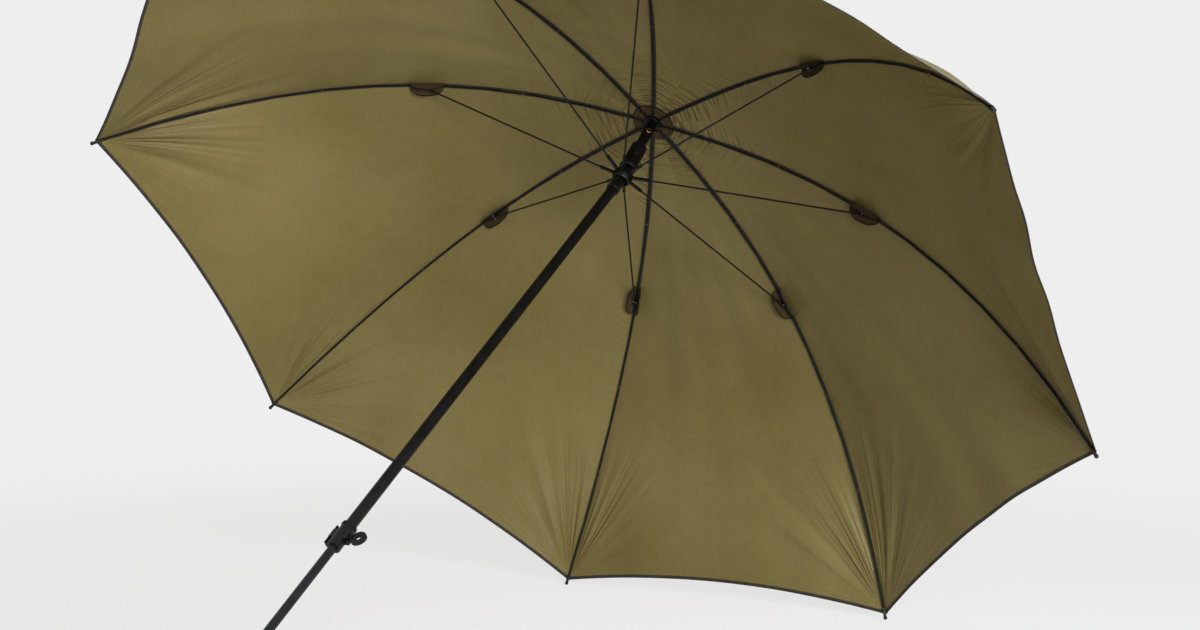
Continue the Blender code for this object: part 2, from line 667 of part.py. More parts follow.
def add_housing(hub, finishes):
    """Upper half of the knuckle: a sleeve, its lip and the tongue of the joint."""
    outer = HOUSING_DIAMETER / 2
    lip = HOUSING_LIP_DIAMETER / 2
    socket = NECK_DIAMETER / 2 + CLEARANCE
    top, low = -HOUSING_TOP_DROP + LIP_HEIGHT, -HOUSING_BOTTOM_DROP
    step_in = -HOUSING_TOP_DROP
    soft = CLEARANCE * 5
    body = baked(turned("tilt_housing", [
        (0, step_in), (socket, step_in), (socket, top), (outer - soft, top - soft),
        (outer, top - soft * 3), (outer, low + HOUSING_LIP_HEIGHT + soft),
        (lip, low + HOUSING_LIP_HEIGHT), (lip, low + soft), (lip - soft, low), (0, low)],
        FINE_STEPS))
    tongue_top = low + HOUSING_LIP_HEIGHT
    length = tongue_top + KNUCKLE_DROP
    tongue = box("tongue", (TONGUE_WIDTH, TONGUE_THICKNESS, length),
                 (0, 0, tongue_top - length / 2))
    half = TONGUE_THICKNESS / 2
    eye = rod("tongue_eye", TONGUE_WIDTH / 2, (0, -half, -KNUCKLE_DROP), (0, half, -KNUCKLE_DROP))
    body = combine(body, [tongue, eye], "UNION")
    out = Vector((cos(FEATURE_AZIMUTH), sin(FEATURE_AZIMUTH), 0))
    centre = Vector((0, 0, -BUTTON_DROP))
    deep = outer - BUTTON_DEPTH - BUTTON_STAND
    well = rod("well", BUTTON_DIAMETER / 2 + RUNNING_CLEARANCE, centre + out * deep,
               centre + out * (outer + CUT_OVERRUN))
    bore = rod("pin_bore", TILT_PIN_DIAMETER / 2 + CLEARANCE,
               (0, -TONGUE_THICKNESS, -KNUCKLE_DROP), (0, TONGUE_THICKNESS, -KNUCKLE_DROP))
    body = combine(body, [well, bore], "DIFFERENCE")
    smooth(body)
    place(body, hub, finishes["housing_nylon"])
    face = outer + BUTTON_STAND
    radius = BUTTON_DIAMETER / 2
    back = deep + BUTTON_STAND + CLEARANCE
    button = turned("tilt_button", [
        (0, face), (radius - soft, face), (radius, face - soft), (radius, back), (0, back)])
    place(button, hub, finishes["button_nylon"], centre, (0, pi / 2, FEATURE_AZIMUTH))


# Knuckle and runner
def add_knuckle(pole, finishes):
    """Fork plugged into the pole's top, and the pin that the head tilts on."""
    plug = UPPER_TUBE_DIAMETER / 2 - UPPER_TUBE_WALL - CLEARANCE
    shoulder = UPPER_TUBE_DIAMETER / 2 - CLEARANCE
    top = TONGUE_WIDTH / 2
    fork = rod("pole_fork", shoulder, (0, 0, -UPPER_TUBE_START + CLEARANCE), (0, 0, top))
    plug_rod = rod("plug", plug, (0, 0, -UPPER_TUBE_START * 3),
                   (0, 0, -UPPER_TUBE_START / 2))
    fork = combine(fork, [plug_rod], "UNION")
    gap = TONGUE_THICKNESS / 2 + CLEARANCE
    floor = -TONGUE_WIDTH / 2 - CLEARANCE * 2
    slot = box("slot", (UPPER_TUBE_DIAMETER * 2, gap * 2, top - floor + CUT_OVERRUN),
               (0, 0, (top + CUT_OVERRUN + floor) / 2))
    cheek = gap + FORK_EAR_THICKNESS
    cuts = [slot]
    for side in (-1, 1):
        cuts.append(box("cheek", (UPPER_TUBE_DIAMETER * 2, UPPER_TUBE_DIAMETER,
                                  top - floor + CUT_OVERRUN),
                        (0, side * (cheek + UPPER_TUBE_DIAMETER / 2),
                         (top + CUT_OVERRUN + floor) / 2)))
    cuts.append(rod("bore", TILT_PIN_DIAMETER / 2 + CLEARANCE, (0, -shoulder * 2, 0),
                    (0, shoulder * 2, 0)))
    fork = combine(fork, cuts, "DIFFERENCE")
    smooth(fork)
    place(fork, pole, finishes["fork_steel"])
    reach = cheek + CLEARANCE
    pin = rod("tilt_pin", TILT_PIN_DIAMETER / 2, (0, -reach, 0), (0, reach, 0))
    smooth(pin)
    place(pin, pole, finishes["pin_steel"])


def add_ball(head, finishes):
    """Runner ball: a bored ball with eight forked lugs for the stretchers."""
    radius = BALL_DIAMETER / 2
    body = ball("runner_ball", radius, (0, 0, 0), ROUND_STEPS, 12)
    height = LUG_HEIGHT / 2
    gap = EYE_THICKNESS / 2 + CLEARANCE
    width = (gap + LUG_EAR_THICKNESS) * 2
    lugs, slots = [], []
    start = radius * LUG_ROOT_SHARE
    for index in range(RIB_COUNT):
        azimuth = HALF_STEP + RIB_STEP * index
        turn = Matrix.Rotation(azimuth, 4, "Z") @ Matrix.Rotation(-STRETCHER_RISE, 4, "Y")
        lug = box("lug", (LUG_REACH - start, width, LUG_HEIGHT - CLEARANCE),
                  ((LUG_REACH + start) / 2, 0, 0))
        cheek = (width - CLEARANCE) / 2
        nose = rod("nose", height, (LUG_REACH, -cheek, 0), (LUG_REACH, cheek, 0), 10)
        slot_start = LUG_REACH - EYE_REACH - CLEARANCE
        slot_end = LUG_REACH + LUG_HEIGHT
        slot = box("slot", (slot_end - slot_start, gap * 2, LUG_HEIGHT * 2),
                   ((slot_end + slot_start) / 2, 0, 0))
        for piece in (lug, nose, slot):
            piece.data.transform(turn)
        lugs += [lug, nose]
        slots.append(slot)
    body = combine(body, lugs, "UNION")
    flat = BALL_FLAT_HEIGHT
    cuts = slots
    for side in (-1, 1):
        cuts.append(box("flat", (BALL_DIAMETER * 2, BALL_DIAMETER * 2, BALL_DIAMETER),
                        (0, 0, side * (flat + BALL_DIAMETER / 2))))
    waist = UPPER_TUBE_DIAMETER / 2 + RUNNING_CLEARANCE
    mouth = waist + (flat + CUT_OVERRUN) * sin(TILT_LIMIT) / cos(TILT_LIMIT) + CLEARANCE
    end = flat + CUT_OVERRUN
    cone = baked(turned("bore", [(0, end), (mouth, end), (waist / cos(TILT_LIMIT), 0),
                                 (mouth, -end), (0, -end)], FINE_STEPS))
    cuts.append(cone)
    body = combine(body, cuts, "DIFFERENCE")
    smooth(body)
    place(body, head, finishes["ball_nylon"])


def add_sleeve(pole, finishes):
    """Runner sleeve below the ball: a cupped top, a waist and a flared lip."""
    bore = UPPER_TUBE_DIAMETER / 2 + CLEARANCE
    waist, lip = WAIST_DIAMETER / 2, LIP_DIAMETER / 2
    low = -SLEEVE_BOTTOM_DROP
    seat = -sqrt((BALL_DIAMETER / 2 + CLEARANCE) ** 2 - waist ** 2)
    inner_seat = -sqrt((BALL_DIAMETER / 2 + CLEARANCE) ** 2 - bore ** 2)
    sleeve = turned("runner_sleeve", [
        (waist, seat), (waist, low + LIP_HEIGHT * 2), (lip, low + LIP_HEIGHT),
        (lip, low + CLEARANCE * 3), (lip - CLEARANCE * 3, low), (bore, low),
        (bore, inner_seat)], FINE_STEPS, True)
    place(sleeve, pole, finishes["sleeve_nylon"])


# Pole
def add_tubes(pole, finishes):
    """Upper tube, and the fluted lower tube that slides inside it."""
    outer = UPPER_TUBE_DIAMETER / 2
    inner = outer - UPPER_TUBE_WALL
    tube = turned("upper_tube", [
        (outer, -UPPER_TUBE_START), (outer, -UPPER_TUBE_END),
        (inner, -UPPER_TUBE_END), (inner, -UPPER_TUBE_START)], FINE_STEPS, True)
    place(tube, pole, finishes["upper_tube_enamel"])
    curve = bpy.data.curves.new("lower_tube", "CURVE")
    curve.dimensions = "2D"
    curve.fill_mode = "BOTH"
    curve.extrude = (LOWER_TUBE_END - LOWER_TUBE_START) / 2
    crest = LOWER_TUBE_DIAMETER / 2
    inside = crest - LOWER_TUBE_WALL
    count = FLUTE_COUNT * 4
    outline = []
    hole = []
    for step in range(count):
        angle = 2 * pi * step / count
        radius = crest - FLUTE_DEPTH * (1 - cos(FLUTE_COUNT * angle)) / 2
        outline.append((radius * cos(angle), radius * sin(angle)))
        hole.append((inside * cos(angle), inside * sin(angle)))
    for points in (outline, hole):
        spline = curve.splines.new("POLY")
        spline.points.add(len(points) - 1)
        for point, (x, y) in zip(spline.points, points):
            point.co = (x, y, 0, 1)
        spline.use_cyclic_u = True
    lower = baked(new_object("lower_tube", curve))
    smooth(lower)
    place(lower, pole, finishes["lower_tube_steel"],
          (0, 0, -(LOWER_TUBE_START + LOWER_TUBE_END) / 2))


def add_clamp(pole, finishes):
    """Collar with a bush at its foot, a clamp plate and a thumb screw."""
    outer, lip = CLAMP_DIAMETER / 2, CLAMP_LIP_DIAMETER / 2
    bore = UPPER_TUBE_DIAMETER / 2 + CLEARANCE
    bush = LOWER_TUBE_DIAMETER / 2 + CLEARANCE
    top, low = -CLAMP_START, -CLAMP_END
    stop = -UPPER_TUBE_END - CLEARANCE
    soft = CLEARANCE * 3
    collar = baked(turned("clamp_collar", [
        (0, top), (lip - soft, top), (lip, top - soft), (lip, top - CLAMP_LIP_HEIGHT + soft),
        (lip - soft, top - CLAMP_LIP_HEIGHT), (outer, top - CLAMP_LIP_HEIGHT),
        (outer, low + soft), (outer - soft, low), (0, low)], FINE_STEPS))
    middle = -(CLAMP_START + CLAMP_END) / 2
    boss = box("boss", (CLAMP_BOSS_WIDTH, CLAMP_BOSS_REACH * 2, CLAMP_BOSS_LENGTH),
               (0, 0, middle))
    pipe = rod("pipe", bore, (0, 0, top + CUT_OVERRUN), (0, 0, stop), FINE_STEPS)
    pipe_low = rod("pipe_low", bush, (0, 0, top), (0, 0, low - CUT_OVERRUN), FINE_STEPS)
    collar = combine(collar, [boss], "UNION")
    screw_hole = rod("screw_hole", SCREW_DIAMETER / 2 + CLEARANCE, (0, -outer * 3, middle),
                     (0, 0, middle))
    collar = combine(collar, [pipe, pipe_low, screw_hole], "DIFFERENCE")
    smooth(collar)
    place(collar, pole, finishes["collar_nylon"])
    plate = box("clamp_plate", (CLAMP_PLATE_WIDTH, CLAMP_PLATE_THICKNESS, CLAMP_PLATE_LENGTH),
                (0, CLAMP_BOSS_REACH + CLEARANCE + CLAMP_PLATE_THICKNESS / 2, middle))
    edge = plate.modifiers.new("Edges", "BEVEL")
    edge.width = CLAMP_PLATE_THICKNESS / 4
    edge.segments = 2
    place(baked(plate), pole, finishes["plate_steel"])
    axle = frame("clamp_screw_axis", pole, (0, 0, middle))
    add_thumb_screw(axle, finishes)


def add_thumb_screw(axle, finishes):
    """Threaded stem with a D-shaped loop to turn it by."""
    near = -(CLAMP_BOSS_REACH + RUNNING_CLEARANCE)
    stem_tip = -(UPPER_TUBE_DIAMETER / 2 + CLEARANCE)
    stem = rod("clamp_screw", SCREW_DIAMETER / 2, (0, stem_tip, 0), (0, near - LOOP_THICKNESS, 0))
    collar = rod("collar", SCREW_DIAMETER, (0, near, 0), (0, near - LOOP_THICKNESS, 0))
    half = LOOP_THICKNESS / 2
    middle = near - LOOP_THICKNESS - LOOP_WIDTH / 2 + SCREW_DIAMETER / 2
    loop = rod("loop", LOOP_LENGTH / 2, (-half, middle, 0), (half, middle, 0), FINE_STEPS)
    stem = combine(stem, [collar, loop], "UNION")
    hole = rod("loop_hole", LOOP_HOLE_DIAMETER / 2,
               (-LOOP_THICKNESS, middle, 0), (LOOP_THICKNESS, middle, 0))
    face = near - LOOP_THICKNESS + SCREW_DIAMETER / 4
    trim = box("trim", (LOOP_LENGTH, LOOP_THICKNESS, LOOP_LENGTH * 2),
               (LOOP_LENGTH / 2 + SCREW_DIAMETER, face + half, 0))
    trim_other = box("trim_other", (LOOP_LENGTH, LOOP_THICKNESS, LOOP_LENGTH * 2),
                     (-LOOP_LENGTH / 2 - SCREW_DIAMETER, face + half, 0))
    stem = combine(stem, [hole, trim, trim_other], "DIFFERENCE")
    smooth(stem)
    place(stem, axle, finishes["screw_nylon"])


def add_spike(pole, finishes):
    """Ground spike: a plug in the tube, a flat shoulder and a long point."""
    shoulder = SPIKE_SHOULDER_DIAMETER / 2
    plug = LOWER_TUBE_DIAMETER / 2 - LOWER_TUBE_WALL - CLEARANCE
    top = -LOWER_TUBE_END - CLEARANCE
    low = top - SPIKE_SHOULDER_HEIGHT
    shank = LOWER_TUBE_DIAMETER / 2
    profile = [(0, top + SPIKE_PLUG_LENGTH), (plug, top + SPIKE_PLUG_LENGTH), (plug, top),
               (shoulder, top), (shoulder, low), (shank, low)]
    steps = 5
    for step in range(steps + 1):
        angle = pi / 2 * step / steps
        profile.append((SPIKE_END_RADIUS * cos(angle),
                        -POLE_LENGTH - SPIKE_END_RADIUS * sin(angle)))
    profile[-1] = (0, -POLE_LENGTH - SPIKE_END_RADIUS)
    spike = turned("ground_spike", profile, ROUND_STEPS)
    place(spike, pole, finishes["spike_steel"])


clear_scene()
PART = new_collection("fishing_umbrella")

looks = {
    "rib_enamel": BLACK_ENAMEL, "tip_nylon": BLACK_NYLON, "bracket_enamel": BLACK_ENAMEL,
    "stretcher_enamel": BLACK_ENAMEL, "canopy_cloth": OLIVE_CLOTH,
    "crown_nylon": BLACK_NYLON, "hinge_wire_steel": BRIGHT_STEEL, "patch_cloth": BROWN_CLOTH,
    "cap_nylon": BLACK_NYLON, "neck_enamel": BLACK_ENAMEL, "eyelet_brass": BRASS,
    "housing_nylon": BLACK_NYLON, "button_nylon": BLACK_NYLON, "fork_steel": DARK_STEEL,
    "pin_steel": BRIGHT_STEEL, "ball_nylon": BLACK_NYLON, "sleeve_nylon": BLACK_NYLON,
    "upper_tube_enamel": BLACK_ENAMEL, "lower_tube_steel": DARK_STEEL,
    "collar_nylon": BLACK_NYLON, "plate_steel": DARK_STEEL, "screw_nylon": BLACK_NYLON,
    "spike_steel": DARK_STEEL,
}
finishes = {name: finish(name, look) for name, look in looks.items()}

knuckle = frame("knuckle", None, (KNUCKLE_X, 0, KNUCKLE_HEIGHT))
pole = frame("pole_axis", knuckle, (0, 0, 0), (0, pi / 2 - POLE_ELEVATION, 0))
head = frame("head_axis", knuckle, (0, 0, 0), (0, pi / 2 - HEAD_ELEVATION, 0))
hub = frame("hub", head, (0, 0, KNUCKLE_DROP))

add_ribs(hub, finishes)
add_crown(hub, finishes)
add_top(hub, finishes)
add_neck(hub, finishes)
add_housing(hub, finishes)
add_knuckle(pole, finishes)
add_ball(head, finishes)
add_sleeve(pole, finishes)
add_tubes(pole, finishes)
add_clamp(pole, finishes)
add_spike(pole, finishes)
bpy.context.view_layer.update()
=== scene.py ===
import math

import bpy
import numpy as np
from mathutils import Matrix, Vector


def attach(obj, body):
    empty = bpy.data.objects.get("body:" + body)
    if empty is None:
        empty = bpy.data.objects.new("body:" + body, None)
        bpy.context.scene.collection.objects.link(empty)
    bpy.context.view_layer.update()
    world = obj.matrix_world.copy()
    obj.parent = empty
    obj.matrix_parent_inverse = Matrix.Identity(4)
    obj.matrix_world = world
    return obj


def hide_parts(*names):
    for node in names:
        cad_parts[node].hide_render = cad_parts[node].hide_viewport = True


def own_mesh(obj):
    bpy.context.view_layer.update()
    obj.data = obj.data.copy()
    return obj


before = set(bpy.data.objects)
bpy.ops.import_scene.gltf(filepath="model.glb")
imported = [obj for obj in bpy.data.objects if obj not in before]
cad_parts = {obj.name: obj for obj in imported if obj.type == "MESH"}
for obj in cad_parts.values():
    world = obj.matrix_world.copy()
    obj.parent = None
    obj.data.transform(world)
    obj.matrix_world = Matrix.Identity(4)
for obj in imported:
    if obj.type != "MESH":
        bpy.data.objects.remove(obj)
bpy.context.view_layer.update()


# The view: a camera low in front of the shelter, a little to its left, looks up into
# the canopy from about three metres off, as at a brolly leaned on its pole.
camera_data = bpy.data.cameras.new("view_camera")
camera_data.lens = 57.68
camera_data.sensor_width = 36
camera = bpy.data.objects.new("view_camera", camera_data)
camera.matrix_world = Matrix((
    (0.519894, 0.038779, -0.853350, -3.04969),
    (-0.854225, 0.020027, -0.519517, -2.10651),
    (-0.003056, 0.999047, 0.043538, 0.87427),
    (0, 0, 0, 1),
))
bpy.context.scene.collection.objects.link(camera)
bpy.context.scene.camera = camera
bpy.context.scene.view_settings.view_transform = "Standard"


# The studio: a pale paper floor that runs on into a pale backdrop, one big soft box
# right of the camera, a weak one overhead, and weak warm light from all round.
def paint(code):
    """Linear colour, with alpha, of an sRGB hex value."""
    shares = [int(code[i:i + 2], 16) / 255 for i in (1, 3, 5)]
    linear = [s / 12.92 if s <= 0.04045 else ((s + 0.055) / 1.055) ** 2.4 for s in shares]
    return (*linear, 1)


def add_node(tree, kind, inputs=(), **settings):
    """Adds a node with these settings; an input is a value or the socket it comes from."""
    node = tree.nodes.new(kind)
    for key, value in settings.items():
        setattr(node, key, value)
    for key, value in dict(inputs).items():
        if isinstance(value, bpy.types.NodeSocket):
            tree.links.new(value, node.inputs[key])
        else:
            node.inputs[key].default_value = value
    return node


def new_material(name, settings):
    """A material with these shader settings; returns it, its tree and its Principled shader."""
    material = bpy.data.materials.new(name)
    material.use_nodes = True
    shader = material.node_tree.nodes["Principled BSDF"]
    for label, value in settings.items():
        shader.inputs[label].default_value = value
    return material, material.node_tree, shader


def in_plain_sight(tree):
    """Socket that is 1 where a surface is looked at, straight, mirrored or through glass."""
    path = add_node(tree, "ShaderNodeLightPath")
    seen = add_node(tree, "ShaderNodeMath", {0: path.outputs["Is Camera Ray"],
                                             1: path.outputs["Is Glossy Ray"]},
                    operation="MAXIMUM")
    seen = add_node(tree, "ShaderNodeMath", {0: seen.outputs[0],
                                             1: path.outputs["Is Transmission Ray"]},
                    operation="MAXIMUM")
    return seen.outputs[0]


backdrop = paint("#EEEEEE")
floor_size = 24.0
floor_paleness = 0.72
floor_mesh = bpy.data.meshes.new("paper_floor")
half_floor = floor_size / 2
floor_mesh.from_pydata(
    [(-half_floor, -half_floor, 0), (half_floor, -half_floor, 0),
     (half_floor, half_floor, 0), (-half_floor, half_floor, 0)], [], [(0, 1, 2, 3)])
floor = bpy.data.objects.new("paper_floor", floor_mesh)
bpy.context.scene.collection.objects.link(floor)
# Matt background paper: it keeps the soft shadow near the canopy and fades, further
# off, into the same pale grey as the wall behind it.
paper, tree, shader = new_material("matt_background_paper", {
    "Base Color": paint("#F1F0EE"), "Roughness": 0.9, "Specular IOR Level": 0.1})
spot = add_node(tree, "ShaderNodeTexCoord")
reach = add_node(tree, "ShaderNodeVectorMath", {0: spot.outputs["Object"]}, operation="LENGTH")
far_off = add_node(tree, "ShaderNodeMapRange", {0: reach.outputs["Value"], 1: 1.6, 2: 4.2},
                   interpolation_type="SMOOTHSTEP")
pale = add_node(tree, "ShaderNodeMapRange", {0: far_off.outputs[0], 3: floor_paleness})
share = add_node(tree, "ShaderNodeMath", {0: pale.outputs[0], 1: in_plain_sight(tree)},
                 operation="MULTIPLY")
tint = add_node(tree, "ShaderNodeMix", {0: far_off.outputs[0], 6: paint("#FFFFFF"), 7: backdrop},
                data_type="RGBA")
glow = add_node(tree, "ShaderNodeEmission", {0: tint.outputs[2], 1: 1.0})
blend = add_node(tree, "ShaderNodeMixShader", {0: share.outputs[0], 1: shader.outputs[0],
                                               2: glow.outputs[0]})
tree.links.new(blend.outputs[0], tree.nodes["Material Output"].inputs["Surface"])
floor_mesh.materials.append(paper)

world = bpy.data.worlds.new("studio_air")
bpy.context.scene.world = world
world.use_nodes = True
tree = world.node_tree
lighting = add_node(tree, "ShaderNodeBackground", {0: paint("#FFE0A4"), 1: 0.036})
shown = add_node(tree, "ShaderNodeBackground", {0: backdrop, 1: 1.0})
blend = add_node(tree, "ShaderNodeMixShader", {0: in_plain_sight(tree),
                                               1: lighting.outputs[0], 2: shown.outputs[0]})
tree.links.new(blend.outputs[0], tree.nodes["World Output"].inputs["Surface"])

for name, power, size, place, aim in (
    ("soft_box_right", 268.0, 2.2, (-2.2, -3.4, 1.6), (0.3, 0.3, 0.9)),
    ("soft_box_top", 26.0, 3.0, (0.3, 0.0, 4.2), (0.4, 0.0, 0.8)),
):
    lamp_data = bpy.data.lights.new(name, "AREA")
    lamp_data.energy = power
    lamp_data.size = size
    lamp_data.color = paint("#F5F9FF")[:3]
    lamp = bpy.data.objects.new(name, lamp_data)
    lamp.location = place
    lamp.rotation_euler = (Vector(aim) - Vector(place)).to_track_quat("-Z", "Y").to_euler()
    bpy.context.scene.collection.objects.link(lamp)


# The canopy: eight panels of coated nylon, sewn rib to rib and pulled tight over the
# bent ribs. Each piece here runs from one panel's middle over a rib to the next
# panel's middle, so the sheet shows no break where a piece ends.
def new_tree(name, sizes):
    """A Geometry Nodes tree with one named input a size; returns it, its inputs and its end."""
    tree = bpy.data.node_groups.new(name, "GeometryNodeTree")
    tree.interface.new_socket("Geometry", in_out="INPUT", socket_type="NodeSocketGeometry")
    tree.interface.new_socket("Geometry", in_out="OUTPUT", socket_type="NodeSocketGeometry")
    for label, value in sizes.items():
        kind = "NodeSocketInt" if isinstance(value, int) else "NodeSocketFloat"
        tree.interface.new_socket(label, in_out="INPUT", socket_type=kind)
    return tree, tree.nodes.new("NodeGroupInput").outputs, tree.nodes.new("NodeGroupOutput").inputs


def ended(tree, end, geometry, material):
    """Ends a tree in real geometry of one material."""
    real = add_node(tree, "GeometryNodeRealizeInstances", {0: geometry.outputs[0]})
    dressed = add_node(tree, "GeometryNodeSetMaterial", {"Geometry": real.outputs[0],
                                                         "Material": material})
    tree.links.new(dressed.outputs[0], end[0])


def grown(name, tree, sizes, base=None, smooth=True):
    """The plain mesh object that a Geometry Nodes tree makes with these sizes."""
    holder = bpy.data.objects.new(name, base or bpy.data.meshes.new(f"{name}_base"))
    modifier = holder.modifiers.new("Made by rule", "NODES")
    modifier.node_group = tree
    for socket in tree.interface.items_tree:
        if socket.in_out == "INPUT" and socket.name in sizes:
            modifier[socket.identifier] = sizes[socket.name]
    bpy.context.scene.collection.objects.link(holder)
    graph = bpy.context.evaluated_depsgraph_get()
    mesh = bpy.data.meshes.new_from_object(holder.evaluated_get(graph), depsgraph=graph,
                                           preserve_all_data_layers=True)
    holder.modifiers.remove(modifier)
    mesh.name = name
    if smooth:
        mesh.polygons.foreach_set("use_smooth", [True] * len(mesh.polygons))
    holder.data = mesh
    return holder


rib_count = 8
tip_radius = 1.107
canopy_depth = 0.522
curve_power = 2.45
half_step = math.pi / rib_count
head_elevation = 0.743912
hub = (0.63516, 0.0, 1.11054)
canopy_rows, canopy_columns = 179, 101
column_crowding = 1.3
canopy_sizes = {
    "Ribs": rib_count,
    "Tip radius": tip_radius,
    "Canopy depth": canopy_depth,
    "Curve power": curve_power,
    "Hole radius": 0.0135,
    "Hem radius": 1.1012,
    "Scallop": 0.022,
    "Sag": 0.010,
    "Height over rib": 0.0042,
    "Rows": canopy_rows,
    "Columns": canopy_columns,
}
cloth_thickness = 0.0005

form, sizes_in, form_end = new_tree("canopy_form", canopy_sizes)
grid = add_node(form, "GeometryNodeMeshGrid", {
    "Size X": 1.0, "Size Y": 1.0, "Vertices X": sizes_in["Rows"],
    "Vertices Y": sizes_in["Columns"]})
place = add_node(form, "GeometryNodeInputPosition")
split = add_node(form, "ShaderNodeSeparateXYZ", {0: place.outputs[0]})
known = {label: sizes_in[label] for label in canopy_sizes}
known.update({"x": split.outputs[0], "y": split.outputs[1]})
for name, operation, first, second in (
    ("down", "ADD", "x", 0.5),
    ("turn", "MULTIPLY", "y", 2.0),
    ("side", "SIGN", "turn", 0.0),
    ("even", "ABSOLUTE", "turn", 0.0),
    ("aside", "POWER", "even", column_crowding),
    ("left over", "SUBTRACT", 2.0, "aside"),
    ("bow", "MULTIPLY", "aside", "left over"),
    ("bite", "MULTIPLY", "Scallop", "bow"),
    ("rim", "SUBTRACT", "Hem radius", "bite"),
    ("span", "SUBTRACT", "rim", "Hole radius"),
    ("out", "MULTIPLY", "span", "down"),
    ("radius", "ADD", "Hole radius", "out"),
    ("half turn", "DIVIDE", math.pi, "Ribs"),
    ("half sine", "SINE", "half turn", 0.0),
    ("half cosine", "COSINE", "half turn", 0.0),
    ("share out", "MULTIPLY", "aside", "radius"),
    ("chord", "MULTIPLY", "share out", "half sine"),
    ("inward", "MULTIPLY", "chord", "half sine"),
    ("level", "MULTIPLY", "chord", "half cosine"),
    ("across", "MULTIPLY", "level", "side"),
    ("share", "DIVIDE", "radius", "Tip radius"),
    ("fall share", "POWER", "share", "Curve power"),
    ("fall", "MULTIPLY", "Canopy depth", "fall share"),
    ("slope power", "SUBTRACT", "Curve power", 1.0),
    ("slope share", "POWER", "share", "slope power"),
    ("steepness", "MULTIPLY", "slope share", "Curve power"),
    ("rise", "MULTIPLY", "steepness", "Canopy depth"),
    ("slope", "ARCTAN2", "rise", "Tip radius"),
    ("slope sine", "SINE", "slope", 0.0),
    ("slope cosine", "COSINE", "slope", 0.0),
    ("sag place", "POWER", "down", 2.0),
    ("sag turn", "MULTIPLY", "sag place", math.pi),
    ("sag wave", "SINE", "sag turn", 0.0),
    ("sag bow", "MULTIPLY", "sag wave", "bow"),
    ("sag", "MULTIPLY", "sag bow", "Sag"),
    ("lift out", "MULTIPLY", "Height over rib", "slope sine"),
    ("lift up", "MULTIPLY", "Height over rib", "slope cosine"),
    ("pulled in", "SUBTRACT", "radius", "inward"),
    ("form x", "ADD", "pulled in", "lift out"),
    ("hung", "SUBTRACT", "lift up", "fall"),
    ("form z", "SUBTRACT", "hung", "sag"),
    ("signed chord", "MULTIPLY", "chord", "side"),
    ("full turn", "MULTIPLY", "half turn", 2.0),
):
    step = add_node(form, "ShaderNodeMath", {0: known.get(first, first),
                                             1: known.get(second, second)}, operation=operation)
    known[name] = step.outputs[0]
spot = add_node(form, "ShaderNodeCombineXYZ", {0: known["form x"], 1: known["across"],
                                               2: known["form z"]})
for label, source in (("row_share", "down"), ("column_share", "turn"), ("out_from_hub", "radius"),
                      ("off_rib", "signed chord")):
    grid = add_node(form, "GeometryNodeStoreNamedAttribute",
                    {"Geometry": grid.outputs[0], "Name": label, "Value": known[source]})
shaped = add_node(form, "GeometryNodeSetPosition", {"Geometry": grid.outputs[0],
                                                    "Position": spot.outputs[0]})
ring = add_node(form, "GeometryNodeMeshLine", {"Count": sizes_in["Ribs"],
                                               "Offset": (0.0, 0.0, 0.0)})
number = add_node(form, "GeometryNodeInputIndex")
turned = add_node(form, "ShaderNodeMath", {0: number.outputs[0], 1: known["full turn"],
                                           2: known["half turn"]}, operation="MULTIPLY_ADD")
turned = add_node(form, "ShaderNodeCombineXYZ", {2: turned.outputs[0]})
turned = add_node(form, "FunctionNodeEulerToRotation", {0: turned.outputs[0]})
panels = add_node(form, "GeometryNodeInstanceOnPoints", {
    "Points": ring.outputs[0], "Instance": shaped.outputs[0], "Rotation": turned.outputs[0]})
number = add_node(form, "GeometryNodeInputIndex")
numbered = add_node(form, "GeometryNodeStoreNamedAttribute", {
    "Geometry": panels.outputs[0], "Name": "rib_index", "Value": number.outputs[0]},
    domain="INSTANCE")

# Coated taffeta, woven from fine nylon yarn: a satin glow along its folds, a faint
# square of thicker threads, and short puckers where the seams draw it in. Threads of
# a quarter of a millimetre can't show, so every twentieth is drawn, 5 mm apart.
def dyed(tree, tone, dark, light, low=0.0, high=1.0):
    """Colour that runs from dark at the tone low to light at the tone high."""
    dye = add_node(tree, "ShaderNodeValToRGB", {0: tone})
    for stop, place, shade in zip(dye.color_ramp.elements, (low, high), (dark, light)):
        stop.position = place
        stop.color = paint(shade)
    return dye.outputs[0]


def coat_with(tree, shader, colour, height, strength, depth):
    """Gives the shader this colour and a relief of this height, in metres."""
    relief = add_node(tree, "ShaderNodeBump", {"Strength": strength, "Distance": depth,
                                               "Height": height})
    tree.links.new(colour, shader.inputs["Base Color"])
    tree.links.new(relief.outputs[0], shader.inputs["Normal"])


cloth, tree, shader = new_material("coated_nylon_taffeta", {
    "Roughness": 0.38, "IOR": 1.53, "Specular IOR Level": 0.14})
laid = add_node(tree, "ShaderNodeUVMap", uv_map="cloth_map")
spot = add_node(tree, "ShaderNodeTexCoord")
broad = add_node(tree, "ShaderNodeTexNoise", {"Vector": spot.outputs["Object"], "Scale": 2.6,
                                              "Detail": 3.0, "Roughness": 0.5})
yarns = []
for name, stretch in (("warp", (900.0, 26.0, 1.0)), ("weft", (26.0, 900.0, 1.0))):
    lying = add_node(tree, "ShaderNodeMapping", {"Vector": laid.outputs[0], "Scale": stretch})
    yarns.append(add_node(tree, "ShaderNodeTexNoise", {"Vector": lying.outputs[0], "Scale": 1.0,
                                                       "Detail": 1.0}))
slub = add_node(tree, "ShaderNodeMath", {0: yarns[0].outputs[0], 1: yarns[1].outputs[0]},
                operation="ADD")
bands = []
for axis in ("X", "Y"):
    bands.append(add_node(tree, "ShaderNodeTexWave", {"Vector": laid.outputs[0], "Scale": 62.8,
                                                      "Distortion": 0.0},
                          wave_type="BANDS", bands_direction=axis))
